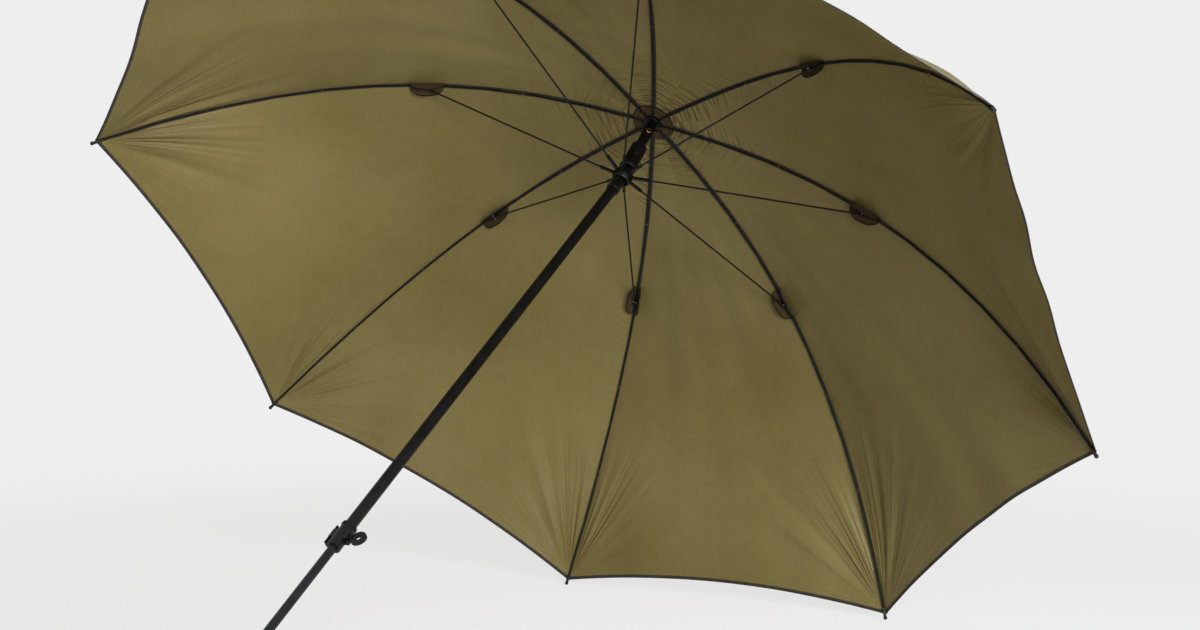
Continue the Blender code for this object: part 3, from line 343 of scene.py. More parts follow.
thread = add_node(tree, "ShaderNodeMath", {0: bands[0].outputs["Fac"],
                                           1: bands[1].outputs["Fac"]}, operation="MAXIMUM")
thread = add_node(tree, "ShaderNodeMapRange", {0: thread.outputs[0], 1: 0.86, 2: 1.0})
tone = add_node(tree, "ShaderNodeMath", {0: slub.outputs[0], 1: 0.32, 2: 0.0},
                operation="MULTIPLY_ADD")
tone = add_node(tree, "ShaderNodeMath", {0: broad.outputs[0], 1: 0.75, 2: tone.outputs[0]},
                operation="MULTIPLY_ADD")
tone = add_node(tree, "ShaderNodeMath", {0: thread.outputs[0], 1: -0.10, 2: tone.outputs[0]},
                operation="MULTIPLY_ADD")
dye = dyed(tree, tone.outputs[0], "#6D6034", "#887A4D", 0.45, 0.95)
# Folds that fan out of each hem corner: the angle at the corner, the distance from it.
corner = add_node(tree, "ShaderNodeAttribute", attribute_name="corner_place")
fanned = add_node(tree, "ShaderNodeMapping", {"Vector": corner.outputs["Vector"],
                                              "Scale": (13.0, 0.9, 0.0)})
fan = add_node(tree, "ShaderNodeTexNoise", {"Vector": fanned.outputs[0], "Scale": 1.0,
                                            "Detail": 2.0, "Roughness": 0.5})
apart = add_node(tree, "ShaderNodeSeparateXYZ", {0: corner.outputs["Vector"]})
rising = add_node(tree, "ShaderNodeMapRange", {0: apart.outputs[1], 1: 0.0, 2: 0.12, 4: 0.0085},
                  interpolation_type="SMOOTHSTEP")
fading = add_node(tree, "ShaderNodeMapRange", {0: apart.outputs[1], 1: 0.10, 2: 0.46, 3: 1.0,
                                               4: 0.0}, interpolation_type="SMOOTHSTEP")
fan_height = add_node(tree, "ShaderNodeMath", {0: rising.outputs[0], 1: fading.outputs[0]},
                      operation="MULTIPLY")
fan_height = add_node(tree, "ShaderNodeMath", {0: fan_height.outputs[0], 1: fan.outputs[0]},
                      operation="MULTIPLY")
by_rib = add_node(tree, "ShaderNodeMapRange", {0: apart.outputs[2], 1: 0.15, 2: 0.80, 3: 1.9,
                                               4: 0.25}, interpolation_type="SMOOTHSTEP")
fan_height = add_node(tree, "ShaderNodeMath", {0: fan_height.outputs[0], 1: by_rib.outputs[0]},
                      operation="MULTIPLY")
# Puckers square to the seam, where the sewing draws the cloth in, deepest at the crown.
seam = add_node(tree, "ShaderNodeAttribute", attribute_name="seam_place")
drawn = add_node(tree, "ShaderNodeMapping", {"Vector": seam.outputs["Vector"],
                                             "Scale": (95.0, 11.0, 0.0)})
pucker = add_node(tree, "ShaderNodeTexNoise", {"Vector": drawn.outputs[0], "Scale": 1.0,
                                               "Detail": 2.0, "Roughness": 0.5})
apart = add_node(tree, "ShaderNodeSeparateXYZ", {0: seam.outputs["Vector"]})
close = add_node(tree, "ShaderNodeMapRange", {0: apart.outputs[1], 1: 0.004, 2: 0.085, 3: 1.0,
                                              4: 0.0}, interpolation_type="SMOOTHSTEP")
near_crown = add_node(tree, "ShaderNodeMapRange", {0: apart.outputs[2], 1: 0.05, 2: 0.34,
                                                   3: 0.0160, 4: 0.0018},
                      interpolation_type="SMOOTHSTEP")
pucker_height = add_node(tree, "ShaderNodeMath", {0: close.outputs[0], 1: near_crown.outputs[0]},
                         operation="MULTIPLY")
pucker_height = add_node(tree, "ShaderNodeMath", {0: pucker_height.outputs[0],
                                                  1: pucker.outputs[0]}, operation="MULTIPLY")
creases = add_node(tree, "ShaderNodeTexNoise", {"Vector": spot.outputs["Object"], "Scale": 11.0,
                                                "Detail": 4.0, "Roughness": 0.45})
height = add_node(tree, "ShaderNodeMath", {0: creases.outputs[0], 1: 0.0016,
                                           2: fan_height.outputs[0]}, operation="MULTIPLY_ADD")
height = add_node(tree, "ShaderNodeMath", {0: height.outputs[0], 1: pucker_height.outputs[0]},
                  operation="ADD")
height = add_node(tree, "ShaderNodeMath", {0: thread.outputs[0], 1: 0.00006,
                                           2: height.outputs[0]}, operation="MULTIPLY_ADD")
height = add_node(tree, "ShaderNodeMath", {0: slub.outputs[0], 1: 0.00012,
                                           2: height.outputs[0]}, operation="MULTIPLY_ADD")
coat_with(tree, shader, dye, height.outputs[0], 1.0, 1.0)

ended(form, form_end, numbered, cloth)

# The ruled form is read back as one ring of points, rib by rib, so that the folds and
# the shading run on over every join.
canopy_form = grown("canopy_form", form, canopy_sizes)
mesh = canopy_form.data


def read(mesh, name, width=1):
    """A mesh attribute as an array of numbers."""
    attribute = mesh.attributes[name]
    values = np.zeros(len(attribute.data) * width)
    attribute.data.foreach_get("vector" if width == 3 else "value", values)
    return values.reshape(-1, width) if width > 1 else values


order = np.lexsort((read(mesh, "column_share").round(5), read(mesh, "row_share").round(5),
                    read(mesh, "rib_index").round(0)))
shape = (rib_count, canopy_rows, canopy_columns)
points = read(mesh, "position", 3)[order].reshape(*shape, 3)
out_from_hub = read(mesh, "out_from_hub")[order].reshape(shape)
off_rib = read(mesh, "off_rib")[order].reshape(shape)
bpy.data.objects.remove(canopy_form)


def ringed(values):
    """Joins the eight pieces' columns into one ring, each shared column kept once."""
    return np.concatenate([values[k][:, :-1] for k in range(rib_count)], axis=1)


def pieces_of(values):
    """Cuts a ring back into eight pieces that share their edge columns."""
    wide = canopy_columns - 1
    closed = np.concatenate([values, values[:, :1]], axis=1)
    return np.stack([closed[:, k * wide:(k + 1) * wide + 1] for k in range(rib_count)])


def outward(surface):
    """Unit normals of a ring of points, towards the weather side."""
    down_row = np.gradient(surface, axis=0)
    round_ring = np.roll(surface, -1, axis=1) - np.roll(surface, 1, axis=1)
    normal = np.cross(down_row, round_ring)
    return normal / np.linalg.norm(normal, axis=2, keepdims=True)


def eased(value, low, high):
    """Smooth step from 0 at low to 1 at high."""
    share = np.clip((value - low) / (high - low), 0, 1)
    return share * share * (3 - 2 * share)


def wander(place, seed):
    """Smooth wandering line along place, between about -1 and 1."""
    dice = np.random.RandomState(seed)
    total = 0
    for pace, size in ((1.0, 0.5), (1.73, 0.3), (2.91, 0.25), (4.7, 0.15)):
        total = total + size * np.sin(place * pace + dice.uniform(0, 2 * math.pi))
    return total


radii = np.linspace(0, 1.2, 600)
falls = canopy_depth * (radii / tip_radius) ** curve_power
lengths = np.concatenate([[0], np.cumsum(np.hypot(np.diff(radii), np.diff(falls)))])
along_rib = np.interp(out_from_hub, radii, lengths)
hem_along = float(np.interp(canopy_sizes["Hem radius"], radii, lengths))
from_rib = np.abs(off_rib)
from_corner = np.hypot(hem_along - along_rib, from_rib)
corner_angle = np.arctan2(from_rib, np.maximum(hem_along - along_rib, 1e-6))
lift = np.zeros(shape)
for k in range(rib_count):
    for side, half in ((-1, slice(0, canopy_columns // 2)), (1, slice(canopy_columns // 2, None))):
        seed = 2 * k + (side > 0)
        angle = corner_angle[k][:, half]
        gap = from_corner[k][:, half]
        stretch = 0.20 + 0.14 * wander(angle * 9, seed + 100)
        folds = wander(angle * 4, seed + 200) + 0.35 * wander(angle * 7, seed + 300)
        depth = 0.0085 * eased(gap, 0.02, 0.16) * (1 - eased(gap, 0.12, 0.24 + stretch))
        lift[k][:, half] += depth * folds * (1 - eased(angle, 0.55, 1.15))
lift *= eased(from_rib, 0.002, 0.022)
aside = from_rib / np.maximum(out_from_hub * math.sin(half_step), 1e-6)
lift *= 1 - eased(aside, 0.7, 0.98)
hem_near = eased(out_from_hub, 0.90, 1.08)
ring_lift = ringed(lift)
ring_points = ringed(points)
bearing = np.arctan2(ring_points[..., 1], ring_points[..., 0])
spread_out = np.hypot(ring_points[..., 0], ring_points[..., 1])
ripple = sum(size * np.sin(count * bearing + start + spread_out * lean)
             for count, size, start, lean in ((5, 0.5, 0.4, 3.0), (11, 0.5, 2.1, -6.0),
                                              (19, 0.45, 4.0, 9.0), (37, 0.35, 1.2, 7.0)))
free = ringed(eased(aside, 0.1, 0.6))
ring_lift += 0.0022 * ripple * free * eased(spread_out, 0.1, 0.5)
ring_lift += 0.0030 * ringed(hem_near) * free * np.sin(23 * bearing + 1.0) * np.sin(5 * bearing)
joint_radius = 0.512
joint_near = np.hypot(out_from_hub - joint_radius, from_rib)
ring_lift += 0.0022 * ringed(1 - eased(joint_near, 0.025, 0.075))
ring_lift += 0.0012 * (1 - eased(spread_out, 0.05, 0.09))
ring_points = ring_points + outward(ring_points) * ring_lift[..., None]

axis_out = np.array([math.cos(head_elevation), 0, math.sin(head_elevation)])
axis_low = np.array([math.sin(head_elevation), 0, -math.cos(head_elevation)])
head_turn = np.stack([axis_low, np.array([0.0, 1.0, 0.0]), axis_out], axis=1)
head_place = Matrix.Translation(hub) @ Matrix(head_turn.tolist()).to_4x4()
ring_points = ring_points @ head_turn.T + np.array(hub)
ring_normals = outward(ring_points)
under = pieces_of(ring_points)
facing = pieces_of(ring_normals)
panel_half = out_from_hub * math.sin(half_step)


def new_piece(name, verts, faces, material, smooth=True):
    """A plain mesh object in the row frame."""
    mesh = bpy.data.meshes.new(name)
    mesh.from_pydata(np.asarray(verts).tolist(), [], np.asarray(faces).tolist()
                     if isinstance(faces, np.ndarray) else faces)
    mesh.materials.append(material)
    mesh.polygons.foreach_set("use_smooth", [smooth] * len(mesh.polygons))
    piece = bpy.data.objects.new(name, mesh)
    bpy.context.scene.collection.objects.link(piece)
    return piece


def quilt(rows, columns):
    """Faces of one side of a sheet of points, and of the wall round it to a second side."""
    cell = np.arange(rows * columns).reshape(rows, columns)
    side = np.stack([cell[:-1, :-1], cell[1:, :-1], cell[1:, 1:], cell[:-1, 1:]], -1)
    edge = np.concatenate([cell[:-1, 0], cell[-1, :-1], cell[:0:-1, -1], cell[0, :0:-1]])
    next_edge = np.roll(edge, -1)
    wall = np.stack([edge, next_edge, next_edge + cell.size, edge + cell.size], -1)
    return side.reshape(-1, 4), wall


rows, columns = canopy_rows, canopy_columns
total = rows * columns
top, rim = quilt(rows, columns)
canopy_faces = np.concatenate([top[:, ::-1], top + total, rim])
panel_side = np.where(np.arange(columns - 1) < columns // 2, -1, 1)
panel_side = np.tile(panel_side, rows - 1)
panel_side = np.concatenate([panel_side, panel_side, np.ones(len(rim))])
canopy_pieces = {}
for k in range(rib_count):
    low = under[k].reshape(-1, 3)
    normal = facing[k].reshape(-1, 3)
    verts = np.concatenate([low, low + normal * cloth_thickness])
    piece = new_piece(f"canopy_cloth_{k + 1}", verts, canopy_faces, cloth)
    mesh = piece.data
    rim_start = 2 * len(top)
    corner_points = canopy_faces.reshape(-1)
    loop_normals = np.concatenate([-normal, normal])[corner_points]
    flat = np.zeros(len(mesh.polygons) * 3)
    mesh.polygons.foreach_get("normal", flat)
    loop_normals[rim_start * 4:] = np.repeat(flat.reshape(-1, 3)[rim_start:], 4, axis=0)
    mesh.normals_split_custom_set(loop_normals.tolist())
    face_side = np.repeat(panel_side, 4)
    spot = corner_points % total
    lateral = face_side * (np.abs(off_rib[k]).reshape(-1)[spot] - panel_half[k].reshape(-1)[spot])
    panel_number = np.where(face_side > 0, k, (k - 1) % rib_count)
    laid = np.stack([lateral + panel_number * 1.7, along_rib[k].reshape(-1)[spot]], -1)
    mesh.uv_layers.new(name="cloth_map").data.foreach_set("uv", laid.reshape(-1))
    turn_side = np.sign(off_rib[k])
    corner_place = np.stack([corner_angle[k] * turn_side + 9.0 * k, from_corner[k],
                             corner_angle[k]], -1).reshape(-1, 3)
    seam_place = np.stack([along_rib[k] + 3.0 * k, from_rib[k], along_rib[k]], -1).reshape(-1, 3)
    for name, values in (("corner_place", corner_place), ("seam_place", seam_place)):
        attribute = mesh.attributes.new(name, "FLOAT_VECTOR", "POINT")
        attribute.data.foreach_set("vector", np.concatenate([values, values]).reshape(-1))
    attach(piece, f"arm_{k + 1}")
    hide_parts(f"canopy_panel_{k + 1}")
    canopy_pieces[k] = piece


def on_cloth(k, radius, aside_by):
    """Points on the cloth's underside over rib k, and normals towards the weather side."""
    radius, aside_by = np.broadcast_arrays(np.asarray(radius, float), np.asarray(aside_by, float))
    share = np.clip(np.abs(aside_by) / (radius * math.sin(half_step)), 0, 1)
    rim = canopy_sizes["Hem radius"] - canopy_sizes["Scallop"] * share * (2 - share)
    row = (radius - canopy_sizes["Hole radius"]) / (rim - canopy_sizes["Hole radius"])
    row = np.clip(row, 0, 1) * (rows - 1)
    column = (np.sign(aside_by) * share ** (1 / column_crowding) + 1) / 2 * (columns - 1)
    i = np.clip(np.floor(row).astype(int), 0, rows - 2)
    j = np.clip(np.floor(column).astype(int), 0, columns - 2)
    di, dj = (row - i)[..., None], (column - j)[..., None]
    found = []
    for grid in (under[k], facing[k]):
        near = grid[i, j] * (1 - dj) + grid[i, j + 1] * dj
        far = grid[i + 1, j] * (1 - dj) + grid[i + 1, j + 1] * dj
        found.append(near * (1 - di) + far * di)
    found[1] = found[1] / np.linalg.norm(found[1], axis=-1, keepdims=True)
    return found


# Seam tape: a flat polyester ribbon sewn under each panel seam, between cloth and rib,
# from the crown to the hem. It is what draws the dark line beside every rib.
def new_path(name, lines):
    """Loose polylines with the cloth's direction at every point, to run a rule along."""
    mesh = bpy.data.meshes.new(name)
    verts = np.concatenate([line[0] for line in lines])
    edges, start = [], 0
    for line in lines:
        edges += [(start + i, start + i + 1) for i in range(len(line[0]) - 1)]
        start += len(line[0])
    mesh.from_pydata(verts.tolist(), edges, [])
    attribute = mesh.attributes.new("cloth_way", "FLOAT_VECTOR", "POINT")
    attribute.data.foreach_set("vector", np.concatenate([line[1] for line in lines]).reshape(-1))
    return mesh


# Grosgrain ribbon: fine ribs across its width, every 0.8 mm, matt and nearly black.
def woven(tree, weave_scale, fluff_scale, detail, share, dark, light):
    """The height of a close weave, and its colour, mottled by fluff."""
    spot = add_node(tree, "ShaderNodeTexCoord")
    weave = add_node(tree, "ShaderNodeTexVoronoi", {"Vector": spot.outputs["Object"],
                                                    "Scale": weave_scale})
    fluff = add_node(tree, "ShaderNodeTexNoise", {"Vector": spot.outputs["Object"],
                                                  "Scale": fluff_scale, "Detail": detail})
    tone = add_node(tree, "ShaderNodeMath", {0: weave.outputs[0], 1: share, 2: fluff.outputs[0]},
                    operation="MULTIPLY_ADD")
    return weave.outputs[0], dyed(tree, tone.outputs[0], dark, light, 0.3)


ribbon, tree, shader = new_material("woven_polyester_ribbon", {
    "Roughness": 0.82, "Specular IOR Level": 0.2, "Sheen Weight": 0.04, "Sheen Roughness": 0.5})
weave, dye = woven(tree, 1100.0, 90.0, 3.0, 0.4, "#1E1A16", "#423B33")
coat_with(tree, shader, dye, weave, 0.6, 0.0003)

ribbon_sizes = {"Width": 0.011, "Thickness": 0.0005, "Rounding": 0.0002}
ribbon_tree, sizes_in, ribbon_end = new_tree("ribbon_on_cloth", ribbon_sizes)


def faced(tree, sizes_in):
    """The curve along a loose line, turned to the cloth's direction."""
    line = add_node(tree, "GeometryNodeMeshToCurve", {0: sizes_in["Geometry"]})
    way = add_node(tree, "GeometryNodeInputNamedAttribute", {"Name": "cloth_way"},
                   data_type="FLOAT_VECTOR")
    turned = add_node(tree, "GeometryNodeSetCurveNormal",
                      {"Curve": line.outputs[0], "Normal": way.outputs[0]}, mode="FREE")
    return turned.outputs[0]


outline = add_node(ribbon_tree, "GeometryNodeCurvePrimitiveQuadrilateral",
                   {"Width": sizes_in["Thickness"], "Height": sizes_in["Width"]})
outline = add_node(ribbon_tree, "GeometryNodeFilletCurve",
                   {"Curve": outline.outputs[0], "Radius": sizes_in["Rounding"], "Count": 2},
                   mode="POLY")
swept = add_node(ribbon_tree, "GeometryNodeCurveToMesh", {
    "Curve": faced(ribbon_tree, sizes_in), "Profile Curve": outline.outputs[0],
    "Fill Caps": True})
ended(ribbon_tree, ribbon_end, swept, ribbon)

sewn_to = {k: [] for k in range(rib_count)}


def sew(piece, k):
    """Fixes a piece to the canopy over rib k, and lists it there."""
    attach(piece, f"arm_{k + 1}")
    sewn_to[k].append(piece)


tape_stand = 0.0004
for k in range(rib_count):
    middle = columns // 2
    first = int(0.028 * rows)
    line = under[k][first:, middle] - facing[k][first:, middle] * tape_stand
    path = new_path("seam_line", [(line, facing[k][first:, middle])])
    sew(grown(f"seam_tape_{k + 1}", ribbon_tree, ribbon_sizes, path, smooth=False), k)


# Hem binding: the same ribbon folded over the cut edge of the canopy and sewn through,
# from the middle of one panel round a rib's end to the middle of the next.
binding_sizes = {"Width": 0.0076, "Thickness": 0.0017, "Rounding": 0.0007}
binding_inset = 0.0030


def hem_line(k, inset, stand):
    """Line along piece k's hem, this far in from the edge and off the cloth's underside."""
    inward = under[k][-4] - under[k][-1]
    inward /= np.linalg.norm(inward, axis=1, keepdims=True)
    return under[k][-1] + inward * inset + facing[k][-1] * stand


for k in range(rib_count):
    path = new_path("hem_line", [(hem_line(k, binding_inset, cloth_thickness / 2),
                                  facing[k][-1])])
    sew(grown(f"hem_binding_{k + 1}", ribbon_tree, binding_sizes, path, smooth=False), k)


# Lock stitching: bonded nylon thread, one row each side of every seam on the weather
# side, and one row along the hem binding on both of its faces. Real stitches are
# 3 mm long; they are drawn 5 mm apart so that they can be told from one another.
thread_cord, tree, shader = new_material("bonded_nylon_thread", {
    "Roughness": 0.55, "Sheen Weight": 0.2})
spot = add_node(tree, "ShaderNodeTexCoord")
twist = add_node(tree, "ShaderNodeTexNoise", {"Vector": spot.outputs["Object"], "Scale": 600.0})
tree.links.new(dyed(tree, twist.outputs[0], "#2B2620", "#4A4234"), shader.inputs["Base Color"])

stitch_sizes = {"Pitch": 0.005, "Length": 0.0036, "Thread": 0.0007}
stitch_tree, sizes_in, stitch_end = new_tree("stitch_row", stitch_sizes)
holes = add_node(stitch_tree, "GeometryNodeCurveToPoints",
                 {"Curve": faced(stitch_tree, sizes_in), "Length": sizes_in["Pitch"]},
                 mode="LENGTH")
bead = add_node(stitch_tree, "GeometryNodeMeshUVSphere", {"Segments": 6, "Rings": 4,
                                                          "Radius": 0.5})
measure = add_node(stitch_tree, "ShaderNodeCombineXYZ", {
    0: sizes_in["Thread"], 1: sizes_in["Thread"], 2: sizes_in["Length"]})
sewn = add_node(stitch_tree, "GeometryNodeInstanceOnPoints", {
    "Points": holes.outputs[0], "Instance": bead.outputs[0], "Rotation": holes.outputs[3],
    "Scale": measure.outputs[0]})
ended(stitch_tree, stitch_end, sewn, thread_cord)

stitch_aside = 0.0035
stitch_sink = 0.0001
seam_radii = np.linspace(0.05, 1.078, 150)
for k in range(rib_count):
    lines = []
    for side in (-1, 1):
        spot, normal = on_cloth(k, seam_radii, side * stitch_aside)
        lines.append((spot + normal * (cloth_thickness + stitch_sink), normal))
    for side in (-1, 1):
        stand = side * (binding_sizes["Thickness"] / 2 + stitch_sink) + cloth_thickness / 2
        line = hem_line(k, binding_inset + 0.0018, stand)
        lines.append((line[1:-1], facing[k][-1][1:-1]))
    path = new_path("stitch_lines", lines)
    sew(grown(f"stitching_{k + 1}", stitch_tree, stitch_sizes, path), k)


# Joint guards: a saddle of thick brown cloth laid over every rib bracket, so that the
# steel joint can't rub through the canopy. It is sewn under the seam, and its two
# rounded flaps, bound dark along their edges, hang open on either side of the joint.
guard_cloth, tree, shader = new_material("brown_oxford_cloth", {
    "Roughness": 0.85, "Specular IOR Level": 0.2, "Sheen Weight": 0.05})
weave, dye = woven(tree, 700.0, 60.0, 4.0, 0.5, "#2C1E0C", "#4C3A1E")
rim_gap = add_node(tree, "ShaderNodeAttribute", attribute_name="to_edge")
bound = add_node(tree, "ShaderNodeMapRange", {0: rim_gap.outputs["Fac"], 1: 0.0024, 2: 0.0030})
dye = add_node(tree, "ShaderNodeMix", {0: bound.outputs[0], 6: paint("#1A130A"), 7: dye},
               data_type="RGBA")
coat_with(tree, shader, dye.outputs[2], weave, 0.7, 0.0004)

guard_length, guard_drop, guard_top, guard_thickness = 0.078, 0.028, 0.0036, 0.0011
guard_columns, guard_rows = 41, 33


def across(k):
    """Level way square to rib k."""
    azimuth = half_step + 2 * half_step * k
    return -math.sin(azimuth) * axis_low + math.cos(azimuth) * np.array([0.0, 1.0, 0.0])


def slab(name, upper, lower, to_edge):
    """A closed sheet of the brown cloth between two grids of points, its edges bound."""
    long, wide = upper.shape[:2]
    count = long * wide
    quads, wall = quilt(long, wide)
    quads = quads[:, [0, 3, 2, 1]]
    verts = np.concatenate([upper.reshape(-1, 3), lower.reshape(-1, 3)])
    piece = new_piece(name, verts, np.concatenate([quads, quads[:, ::-1] + count, wall]),
                      guard_cloth)
    attribute = piece.data.attributes.new("to_edge", "FLOAT", "POINT")
    attribute.data.foreach_set("value", np.tile(to_edge.reshape(-1), 2))
    return piece


stiff = {}
for k in range(rib_count):
    bend = np.sin(np.linspace(-1, 1, guard_columns) * math.pi / 2 * 0.96)
    along = bend * guard_length / 2
    drop = guard_drop * (1 - np.abs(bend) ** 2.3) ** (1 / 2.3)
    ridge, outward_way = on_cloth(k, joint_radius + along * 0.93, 0.0)
    share = np.linspace(-1, 1, guard_rows)
    run = np.abs(share)[None, :] * (guard_top + drop[:, None])
    hang = np.clip(run - guard_top, 0, None)
    spread = np.where(share < 0, 0.42 + 0.10 * math.sin(2.1 * k), 0.34 + 0.12 * math.cos(1.7 * k))
    curl = 0.0016 * wander(along[:, None] * 95 + 3.0 * np.sign(share), 40 + k)
    aside = np.minimum(run, guard_top) + hang * np.sin(spread) + curl * (hang / guard_drop) ** 2
    below = 0.0016 + hang * np.cos(spread)
    middle = (ridge[:, None, :] + across(k) * (np.sign(share) * aside)[..., None]
              - outward_way[:, None, :] * below[..., None])
    across_way = np.gradient(middle, axis=1)
    facing_out = np.cross(across_way, np.gradient(middle, axis=0))
    facing_out /= np.linalg.norm(facing_out, axis=2, keepdims=True)
    to_edge = np.minimum((1 - np.abs(share))[None, :] * (guard_top + drop[:, None]),
                         (guard_length / 2 - np.abs(along))[:, None] + 0.004)
    guard = slab(f"joint_guard_{k + 1}", middle + facing_out * guard_thickness / 2,
                 middle - facing_out * guard_thickness / 2, to_edge)
    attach(guard, f"arm_{k + 1}")
    stiff[k] = [guard]


# Rib ties: three turns of waxed thread knotted round the rib and through the seam,
# twice between the bracket and the hem and once above it.
tie_sizes = {"Turns": 3, "Spacing": 0.0011, "Across": 0.0036, "Deep": 0.0043, "Thread": 0.0009}
tie_tree, sizes_in, tie_end = new_tree("thread_tie", tie_sizes)
loop = add_node(tie_tree, "GeometryNodeCurvePrimitiveCircle", {"Resolution": 16, "Radius": 1.0})
measure = add_node(tie_tree, "ShaderNodeCombineXYZ", {0: sizes_in["Deep"], 1: sizes_in["Across"],
                                                      2: 1.0})
loop = add_node(tie_tree, "GeometryNodeTransform", {"Geometry": loop.outputs[0],
                                                    "Scale": measure.outputs[0]})
thick = add_node(tie_tree, "ShaderNodeMath", {0: sizes_in["Thread"], 1: 0.5},
                 operation="MULTIPLY")
cross = add_node(tie_tree, "GeometryNodeCurvePrimitiveCircle", {"Resolution": 6,
                                                                "Radius": thick.outputs[0]})
loop = add_node(tie_tree, "GeometryNodeCurveToMesh", {"Curve": loop.outputs[0],
                                                      "Profile Curve": cross.outputs[0]})
step = add_node(tie_tree, "ShaderNodeCombineXYZ", {2: sizes_in["Spacing"]})
turns = add_node(tie_tree, "GeometryNodeMeshLine", {"Count": sizes_in["Turns"],
                                                    "Offset": step.outputs[0]})
turns = add_node(tie_tree, "GeometryNodeInstanceOnPoints", {"Points": turns.outputs[0],
                                                            "Instance": loop.outputs[0]})
starts = add_node(tie_tree, "GeometryNodeCurveToPoints",
                  {"Curve": faced(tie_tree, sizes_in), "Count": 1}, mode="COUNT")
tied = add_node(tie_tree, "GeometryNodeInstanceOnPoints", {
    "Points": starts.outputs[0], "Instance": turns.outputs[0], "Rotation": starts.outputs[3]})
ended(tie_tree, tie_end, tied, thread_cord)


def rib_frame(k, radius):
    """Point on rib k's centre line, its way outward and the way along it, in the row frame."""
    azimuth = half_step + 2 * half_step * k
    slope = math.atan2(canopy_depth * curve_power * (radius / tip_radius) ** (curve_power - 1),
                       tip_radius)
    level = math.cos(azimuth) * axis_low + math.sin(azimuth) * np.array([0.0, 1.0, 0.0])
    fall = canopy_depth * (radius / tip_radius) ** curve_power
    centre = np.array(hub) + level * radius - axis_out * fall
    along = level * math.cos(slope) - axis_out * math.sin(slope)
    upward = level * math.sin(slope) + axis_out * math.cos(slope)
    return centre, upward, along


for k in range(rib_count):
    lines = []
    for radius in (0.30, 0.72, 0.90):
        centre, upward, along = rib_frame(k, radius)
        middle = centre + upward * 0.0010
        lines.append((np.stack([middle, middle + along * 0.002]), np.stack([upward, upward])))
    path = new_path("tie_places", lines)
    ties = grown(f"rib_ties_{k + 1}", tie_tree, tie_sizes, path)
    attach(ties, f"arm_{k + 1}")
    stiff[k].append(ties)


# Crown patch: a gathered round of the same brown cloth under the middle of the canopy,
# between the ribs and the panels, where all eight seams meet. Its middle is sewn to the
# crown, and past the ribs' hinges it is quilted to the panels and folds with them.
patch_outer, patch_inner, patch_thickness = 0.048, 0.0140, 0.0005
patch_rings, patch_spokes, hinge_ring = 12, 144, 1
turn, share = np.meshgrid(np.linspace(0, 2 * math.pi, patch_spokes + 1),
                          np.linspace(0, 1, patch_rings + 1), indexing="ij")
frill = 0.0009 * np.sin(turn * 24) * share
radius = patch_inner + (patch_outer - patch_inner) * share + frill
fall = canopy_depth * (radius / tip_radius) ** curve_power
gather = 0.00035 * np.sin(turn * 36 + 0.7 * np.sin(turn * 5)) * eased(share, 0.05, 0.6)
upper = np.stack([radius * np.cos(turn), radius * np.sin(turn), 0.00335 - fall + gather], -1)
lower = upper - np.array([0, 0, patch_thickness])
upper, lower = upper @ head_turn.T + np.array(hub), lower @ head_turn.T + np.array(hub)
patch_edge = patch_outer - radius + frill
crown_patch = slab("gathered_crown_patch", upper[:, :hinge_ring + 1], lower[:, :hinge_ring + 1],
                   patch_edge[:, :hinge_ring + 1])
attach(crown_patch, "head")
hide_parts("crown_patch")
sector = patch_spokes // rib_count
for k in range(rib_count):
    part = (slice(k * sector, (k + 1) * sector + 1), slice(hinge_ring, None))
    sew(slab(f"crown_patch_flap_{k + 1}", upper[part], lower[part], patch_edge[part]), k)


# Each canopy piece is a sheet stretched over its rib, with its tape, binding, stitching,
# guard, ties and share of the crown patch. The cloth piece and everything sewn to it
# each get a mesh of their own.
for k in range(rib_count):
    centre, upward, along = rib_frame(k, joint_radius)
    for piece in (canopy_pieces[k], *sewn_to[k]):
        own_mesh(piece)


# Rivet heads: plated steel domes that hold each stretcher in its bracket, one on each
# side of the joint.
plated, tree, shader = new_material("zinc_plated_steel", {"Metallic": 1.0})
spot = add_node(tree, "ShaderNodeTexCoord")
grain = add_node(tree, "ShaderNodeTexNoise", {"Vector": spot.outputs["Object"], "Scale": 260.0,
                                              "Detail": 3.0})
tree.links.new(dyed(tree, grain.outputs[0], "#9A9C9E", "#C9CACB"), shader.inputs["Base Color"])
dull = add_node(tree, "ShaderNodeMapRange", {0: grain.outputs[0], 3: 0.22, 4: 0.42})
tree.links.new(dull.outputs[0], shader.inputs["Roughness"])

rivet_sizes = {"Head radius": 0.0027, "Head height": 0.0012}
rivet_tree, sizes_in, rivet_end = new_tree("rivet_heads", rivet_sizes)
dome = add_node(rivet_tree, "GeometryNodeMeshUVSphere", {"Segments": 14, "Rings": 8,
                                                         "Radius": 1.0})
measure = add_node(rivet_tree, "ShaderNodeCombineXYZ", {
    0: sizes_in["Head radius"], 1: sizes_in["Head radius"], 2: sizes_in["Head height"]})
line = add_node(rivet_tree, "GeometryNodeMeshToCurve", {0: sizes_in["Geometry"]})
ends = add_node(rivet_tree, "GeometryNodeCurveToPoints", {"Curve": line.outputs[0], "Count": 2},
                mode="COUNT")
heads = add_node(rivet_tree, "GeometryNodeInstanceOnPoints", {
    "Points": ends.outputs[0], "Instance": dome.outputs[0], "Rotation": ends.outputs[3],
    "Scale": measure.outputs[0]})
ended(rivet_tree, rivet_end, heads, plated)
pivot_drop, pin_reach = 0.0095, 0.0034
for k in range(rib_count):
    centre, upward, along = rib_frame(k, joint_radius)
    pin = centre - upward * pivot_drop
    ends_of_pin = np.stack([pin - across(k) * pin_reach, pin + across(k) * pin_reach])
    path = new_path("pin", [(ends_of_pin, np.stack([upward, upward]))])
    rivets = grown(f"rivet_heads_{k + 1}", rivet_tree, rivet_sizes, path)
    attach(rivets, f"arm_{k + 1}")


